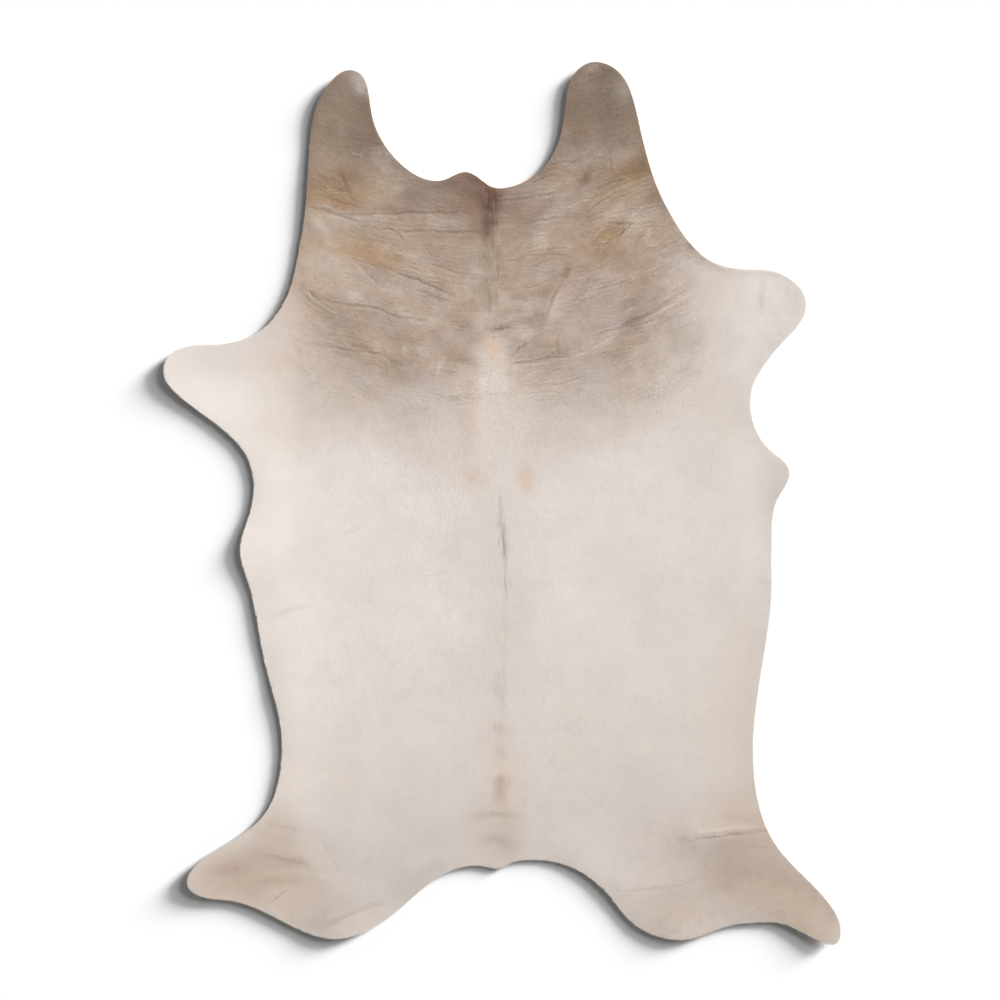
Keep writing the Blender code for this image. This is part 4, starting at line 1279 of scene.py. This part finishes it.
class Finish:
    """A material under way: its shader, and short ways to add and join nodes."""

    def __init__(self, name, **plain):
        self.material = bpy.data.materials.new(name)
        self.material.use_nodes = True
        self.tree = self.material.node_tree
        self.shader = self.tree.nodes["Principled BSDF"]
        for socket, value in plain.items():
            self.shader.inputs[socket.replace("_", " ")].default_value = value

    def node(self, kind, **settings):
        """A new node, with its properties and input sockets set by name."""
        made = self.tree.nodes.new(kind)
        for name, value in settings.items():
            if hasattr(made, name):
                setattr(made, name, value)
            else:
                made.inputs[name.replace("_", " ")].default_value = value
        return made

    def join(self, output, target):
        """A link from one node's output to another's input."""
        self.tree.links.new(output, target)

    def noise(self, scale, detail=3.0, stretch=(1, 1, 1)):
        """Noise in the object's own metres: so many waves a metre, stretched as asked."""
        where = self.node("ShaderNodeTexCoord")
        sizing = self.node("ShaderNodeMapping", Scale=stretch)
        texture = self.node("ShaderNodeTexNoise", Scale=scale, Detail=detail)
        self.join(where.outputs["Object"], sizing.inputs["Vector"])
        self.join(sizing.outputs["Vector"], texture.inputs["Vector"])
        return texture.outputs["Fac"]

    def reckon(self, operation, *values):
        """One step of arithmetic on sockets or plain numbers."""
        step = self.node("ShaderNodeMath", operation=operation)
        for socket, value in zip(step.inputs, values):
            if isinstance(value, bpy.types.NodeSocket):
                self.join(value, socket)
            else:
                socket.default_value = value
        return step.outputs["Value"]

    def spread(self, value, low, high):
        """A noise value turned into one from low to high."""
        least, most = NOISE_MOSTLY
        ranged = self.node("ShaderNodeMapRange", From_Min=least, From_Max=most, To_Min=low, To_Max=high)
        self.join(value, ranged.inputs["Value"])
        return ranged.outputs["Result"]

    def bump(self, value, strength, distance):
        """Small relief on the shader's normal."""
        raised = self.node("ShaderNodeBump", Strength=strength, Distance=distance)
        self.join(value, raised.inputs["Height"])
        self.join(raised.outputs["Normal"], self.shader.inputs["Normal"])

    def tint(self, colour, factor):
        """A colour, from a socket or plain, times a grey factor, as the base colour."""
        product = self.node("ShaderNodeVectorMath", operation="SCALE")
        if isinstance(colour, tuple):
            product.inputs[0].default_value = colour
        else:
            self.join(colour, product.inputs[0])
        self.join(factor, product.inputs["Scale"])
        self.join(product.outputs["Vector"], self.shader.inputs["Base Color"])


def hair_side_finish():
    """Leather between the hair roots, with a fine grain, darkened as painted shade between the hairs."""
    finish = Finish("skin under the hair", Roughness=0.8, Specular_IOR_Level=0.2)
    colour = finish.node("ShaderNodeAttribute", attribute_name="coat_colour")
    grain = finish.noise(SKIN_GRAIN, detail=4)
    # the factor below 1 darkens the leather as painted shade between the hairs
    finish.tint(colour.outputs["Color"], finish.spread(grain, low=0.80, high=0.96))
    finish.bump(grain, strength=0.4, distance=0.0006)
    return finish.material


def flesh_side_finish():
    """Suede, with broad blotches and a short nap."""
    finish = Finish("suede", Roughness=0.95, Specular_IOR_Level=0.15, Sheen_Weight=0.25, Sheen_Roughness=0.5)
    blotches = finish.noise(SUEDE_BLOTCHES, detail=5)
    nap = finish.noise(SUEDE_NAP, detail=3, stretch=(1, 0.5, 1))
    blotch_shade = finish.spread(blotches, low=0.86, high=1.06)
    nap_shade = finish.spread(nap, low=0.90, high=1.06)
    finish.tint(SUEDE_COLOUR, finish.reckon("MULTIPLY", blotch_shade, nap_shade))
    finish.bump(nap, strength=0.5, distance=0.0004)
    return finish.material


def rim_finish():
    """The raw fibres of the cut."""
    finish = Finish("cut leather", Roughness=0.85, Specular_IOR_Level=0.2)
    fibres = finish.noise(RIM_FIBRES, detail=4, stretch=(1, 1, 2.5))
    finish.tint(CUT_COLOUR, finish.spread(fibres, low=0.75, high=1.1))
    finish.bump(fibres, strength=0.6, distance=0.0003)
    return finish.material


store_colours(skin_mesh, look_up(coat, skin_points[:, :2]) * COAT_LIGHT, skin_points[:, :2])
for make in (hair_side_finish, flesh_side_finish, rim_finish):
    skin_mesh.materials.append(make())
print(f"skin finishes: {[material.name for material in skin_mesh.materials]}")

# %% [markdown]
# ## The way the hair lies
#
# Hair on a cow lies from the head towards the tail. On the sides it slants outwards and down, and on the
# legs it runs to the hoof. Combed particles would do this in Blender's own hair system, but real meshes
# are kept here, so the direction is a small formula: tailwards, plus a slant that grows with the
# distance from the backbone and is stronger at the legs.

# %% Hair flow
FLANK_SLANT = 0.8
LEG_SLANT = 1.3
LEGS = ((-0.82, 0.36), (0.77, 0.55), (-0.76, -1.02), (0.83, -1.09))
LEG_REACH = 0.22
NECK_STRAIGHTER = 0.5  # share of the slant that the top of the neck lacks
NECK_STRAIGHTER_Y = (0.55, 0.85)  # where that starts, and where it is reached
WANDERINGS = ((0.16, 0.05, 71), (0.10, 0.014, 72))  # radians, size and seed


def hair_flow(points):
    """Unit direction in which the hair lies at each point."""
    x, y = points.T
    straighter = NECK_STRAIGHTER * smooth_step(y, *NECK_STRAIGHTER_Y)
    slant = FLANK_SLANT * (x - BACKBONE_X) * (1 - straighter)
    for leg_x, leg_y in LEGS:
        near = np.exp(-((np.hypot(x - leg_x, y - leg_y) / LEG_REACH) ** 2))
        slant = slant + LEG_SLANT * near * np.sign(leg_x)
    heading = np.arctan2(-np.ones(len(x)), slant)
    for most, size, seed in WANDERINGS:
        heading = heading + most * soft_noise(x, y, size, size, seed)
    return np.column_stack([np.cos(heading), np.sin(heading)])


# %% [markdown]
# ## Locks of hair
#
# One hair is a twentieth of a millimetre thick, and a hide has a hundred million. What the eye sees is
# small locks, 1 to 2 mm wide, that lie over each other like thatch. Each lock is one long triangle
# here, its root close over the leather and its tip a little higher, and it lies nearly flat: standing
# locks would shade each other in this low light and look coarse. Placing them by a scatter would work
# too, but arrays are quicker for this many, and the draws stay the same each time.

# %% One batch of locks
LOCK_STEP = 0.00205
LOCK_SEED = 73
LOCK_LENGTH = 0.0098
LOCK_WIDTH = 0.0021
TIP_RISE = 0.00022
ROOT_DEPTH = 0.00012  # below the planned height, where the leather itself lies a little lower still
OVERHANG = 0.0020  # how far tips may reach past the edge of the solid
ROUNDNESS = 0.05  # sideways turn of the normals at a lock's two root corners
FACE_PART = 0.05  # of the lock's own normal in its shading, the rest being the pile's
LOCK_SWING = 0.16  # radians off the hair's flow
LOCK_VARIES = (0.7, 1.3)  # of the length, width and rise
CUTTING_ROUNDS = 3
SHORTEST_CUT = 0.1  # share of the length that one round leaves at least
LEAST_RISE = 0.4  # share of the rise that a cut lock keeps at least
NEARLY_NOTHING = 1e-6


def facing_normals(points):
    """The way the pile faces at each point."""
    normals = np.column_stack([-look_up(facing_x, points), -look_up(facing_y, points), np.ones(len(points))])
    return normals / np.linalg.norm(normals, axis=1)[:, None]


def shortened(roots, headings, lengths):
    """Lock lengths cut back where a tip would reach too far past the edge."""
    for _ in range(CUTTING_ROUNDS):
        room_at_root = look_up(room, roots)
        room_at_tip = look_up(room, roots + headings * lengths[:, None])
        over = room_at_tip < -OVERHANG
        share = (room_at_root + OVERHANG) / np.maximum(room_at_root - room_at_tip, NEARLY_NOTHING)
        lengths = np.where(over, lengths * np.clip(share, SHORTEST_CUT, 1), lengths)
    return lengths


def lock_corners(roots, chance):
    """Three corners and three normals for the lock at each root."""
    headings = hair_flow(roots)
    swing = chance.normal(0, LOCK_SWING, len(roots))
    cos, sin = np.cos(swing)[:, None], np.sin(swing)[:, None]
    headings = headings * cos + np.column_stack([-headings[:, 1], headings[:, 0]]) * sin
    beside = np.column_stack([-headings[:, 1], headings[:, 0]])
    lengths = shortened(roots, headings, LOCK_LENGTH * chance.uniform(*LOCK_VARIES, len(roots)))
    widths = LOCK_WIDTH * chance.uniform(*LOCK_VARIES, len(roots))[:, None]
    tips = roots + headings * lengths[:, None]
    rise = TIP_RISE * chance.uniform(*LOCK_VARIES, len(roots))
    rise = rise * np.clip(lengths / LOCK_LENGTH, LEAST_RISE, 1)
    root_height = look_up(height, roots) - ROOT_DEPTH
    left = np.column_stack([roots + beside * widths / 2, root_height])
    right = np.column_stack([roots - beside * widths / 2, root_height])
    tip = np.column_stack([tips, look_up(height, tips) + rise])
    corners = np.stack([right, tip, left], axis=1)
    face = np.cross(tip - right, left - right)
    face /= np.linalg.norm(face, axis=1)[:, None]
    base = face * FACE_PART + facing_normals(roots) * (1 - FACE_PART)
    sideways = np.column_stack([beside, np.zeros(len(roots))]) * ROUNDNESS
    normals = np.stack([base - sideways, base, base + sideways], axis=1)
    return corners, normals / np.linalg.norm(normals, axis=2)[..., None]


# %% [markdown]
# The roots are a lattice with each point pushed aside at random, which covers the skin more evenly than
# free random points do. The whole coat is more than one mesh should carry, so it is cut into bands
# across the hide, which overlap like thatch and show no seam.

# %% Roots over the whole hide
BANDS = ("coat_neck", "coat_shoulders", "coat_ribs", "coat_loin", "coat_rump")
ROOT_INSET = 0.0015  # inside the leather's edge
JITTER = 0.42  # of a step each way

chance = np.random.default_rng(LOCK_SEED)
roots, _, _ = lattice(LOCK_STEP)
roots = roots[on_plan(roots)]
roots = roots + chance.uniform(-JITTER, JITTER, roots.shape) * LOCK_STEP
roots = roots[look_up(room, roots) > EDGE_INSET + ROOT_INSET]
roots = roots[np.argsort(-roots[:, 1], kind="stable")]
batches = np.array_split(roots, len(BANDS))
print(f"{len(roots)} locks")

# %% [markdown]
# The neck also has a net of hair-thin creases, finer than a lock. Meshes can't hold those, but the
# material can draw them as darker lines, partly darker hair and partly painted shade in the creases: the
# lines along which a noise takes its middle value wander and fork just so. They are stretched along the
# neck's sweep, broken up by a second noise, and fade out with the wrinkles.

# %% Net of hair-thin creases
NETS = (
    (22.0, 62.0, 0.055, 0.12),
    (46.0, 120.0, 0.080, 0.05),
)  # waves a metre across and along, half width of a line as a share of the noise, and darkness
FLECK_SCALE = 150.0
FLECK_DEPTH = 0.028


def net_of_creases(finish):
    """A factor for the colour: about 1 between the hair-thin creases of the neck, and less on them, partly
    as painted shade.
    """
    parts = finish.node("ShaderNodeSeparateXYZ")
    finish.join(finish.node("ShaderNodeTexCoord").outputs["Object"], parts.inputs["Vector"])
    x, y = parts.outputs["X"], parts.outputs["Y"]
    bow = finish.reckon("MULTIPLY", finish.reckon("MULTIPLY", x, x), WRINKLE_BOW / 2)
    level = finish.reckon("SUBTRACT", y, bow)
    share = finish.node("ShaderNodeAttribute", attribute_name="wrinkled").outputs["Fac"]
    flecks = finish.noise(FLECK_SCALE, stretch=(1, 1.6, 1))
    flecked = finish.reckon("MULTIPLY", finish.spread(flecks, -FLECK_DEPTH, FLECK_DEPTH), share)
    factor = finish.reckon("ADD", 1.0, flecked)
    for number, (across, along, half_width, darkness) in enumerate(NETS):
        place = finish.node("ShaderNodeCombineXYZ", Z=float(number))
        finish.join(finish.reckon("MULTIPLY", x, across), place.inputs["X"])
        finish.join(finish.reckon("MULTIPLY", level, along), place.inputs["Y"])
        waves = finish.node("ShaderNodeTexNoise", Scale=1.0, Detail=3.0, Distortion=0.5)
        finish.join(place.outputs["Vector"], waves.inputs["Vector"])
        away = finish.reckon("ABSOLUTE", finish.reckon("SUBTRACT", waves.outputs["Fac"], 0.5))
        line = finish.node("ShaderNodeMapRange", From_Max=half_width, To_Min=1.0, To_Max=0.0)
        finish.join(away, line.inputs["Value"])
        broken = finish.spread(finish.noise(across / 2, detail=2), 0.0, darkness)
        dark = finish.reckon("MULTIPLY", line.outputs["Result"], broken)
        left = finish.reckon("SUBTRACT", 1.0, finish.reckon("MULTIPLY", dark, share))
        factor = finish.reckon("MULTIPLY", factor, left)
    return factor


# %% [markdown]
# The coat's finish is soft and nearly matt, with a faint sheen at low angles. Fine streaks along
# each lock stand for its single hairs: noise read in coordinates that run across and along the lock.
# Blender's hair shader would suit single round hairs, but these locks are small blades.

# %% Coat finish
HAIRS_ACROSS, HAIRS_ALONG = 7.0, 0.8  # waves of the noise over a lock's width and length


def coat_finish():
    """Cow hair: the coat's colour, streaked along each lock, with the net of creases."""
    finish = Finish(
        "cow hair",
        Roughness=0.62,
        Specular_IOR_Level=0.22,
        Sheen_Weight=0.12,
        Sheen_Roughness=0.45,
    )
    colour = finish.node("ShaderNodeAttribute", attribute_name="coat_colour")
    along_lock = finish.node("ShaderNodeUVMap", uv_map="lock")
    sizing = finish.node("ShaderNodeMapping", Scale=(HAIRS_ACROSS, HAIRS_ALONG, 1))
    hairs = finish.node("ShaderNodeTexNoise", Scale=1.0, Detail=2.0)
    finish.join(along_lock.outputs["UV"], sizing.inputs["Vector"])
    finish.join(sizing.outputs["Vector"], hairs.inputs["Vector"])
    hair_shade = finish.spread(hairs.outputs["Fac"], low=0.96, high=1.04)
    finish.tint(colour.outputs["Color"], finish.reckon("MULTIPLY", hair_shade, net_of_creases(finish)))
    roughness = finish.spread(hairs.outputs["Fac"], low=0.52, high=0.72)
    finish.join(roughness, finish.shader.inputs["Roughness"])
    return finish.material


cow_hair = coat_finish()
print(f"coat finish: {cow_hair.name}")

# %% [markdown]
# Each band becomes one mesh of loose triangles, filled straight from the arrays: a loop over the points
# would take minutes. A lock is a little paler at its tip, and no two are quite alike. One UV map sees
# the band from above, for when its colours are kept as a picture, and the other runs across and along
# each lock, for its hairs. The normals are set lock by lock, so that a lock shades like the pile round it.

# %% Making the coat's meshes
ROOT_SHADE, TIP_SHADE = 0.96, 1.02
LOCK_TONES = 0.014  # how much single locks differ
HAIRS_APART = 50  # how far apart two locks may read the noise of their hairs


def coat_mesh(name, roots, chance):
    """One band of the coat as a mesh of single triangles."""
    corners, normals = lock_corners(roots, chance)
    count = len(roots)
    mesh = bpy.data.meshes.new(name)
    mesh.vertices.add(count * 3)
    mesh.vertices.foreach_set("co", corners.astype(np.float32).ravel())
    mesh.loops.add(count * 3)
    mesh.loops.foreach_set("vertex_index", np.arange(count * 3, dtype=np.int32))
    mesh.polygons.add(count)
    mesh.polygons.foreach_set("loop_start", np.arange(0, count * 3, 3, dtype=np.int32))
    mesh.update()
    tone = 1 + chance.normal(0, LOCK_TONES, count)
    shades = np.array([ROOT_SHADE, TIP_SHADE, ROOT_SHADE]) * tone[:, None]
    where = corners[..., :2].reshape(-1, 2)
    colours = look_up(coat, where).reshape(count, 3, 3) * shades[..., None] * COAT_LIGHT
    store_colours(mesh, colours.reshape(-1, 3), where)
    from_above = (where - where.min(axis=0)) / (where.max(axis=0) - where.min(axis=0))
    baked = mesh.uv_layers.new(name="OFBake")
    baked.uv.foreach_set("vector", from_above.astype(np.float32).ravel())
    shift = chance.uniform(0, HAIRS_APART, (count, 1, 2))
    across_along = np.array([[0.0, 0.0], [0.5, 1.0], [1.0, 0.0]]) + shift
    lock_map = mesh.uv_layers.new(name="lock")
    lock_map.uv.foreach_set("vector", across_along.astype(np.float32).ravel())
    mesh.normals_split_custom_set_from_vertices(normals.reshape(-1, 3))
    mesh.materials.append(cow_hair)
    return mesh


coat_pieces = []
for name, batch in zip(BANDS, batches):
    piece = bpy.data.objects.new(name, coat_mesh(name, batch, chance))
    bpy.context.scene.collection.objects.link(piece)
    coat_pieces.append(piece)
    print(f"{name}: {len(batch)} locks")

# %% [markdown]
# ## What each piece is
#
# The skin stands for the solid, which is hidden: a hide laid on the floor, whose flat area is
# less than its box because of the notches and bays. Skin and coat ride on the one body there is.

for piece in [skin, *coat_pieces]:
    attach(piece, "root")
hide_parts("hide")
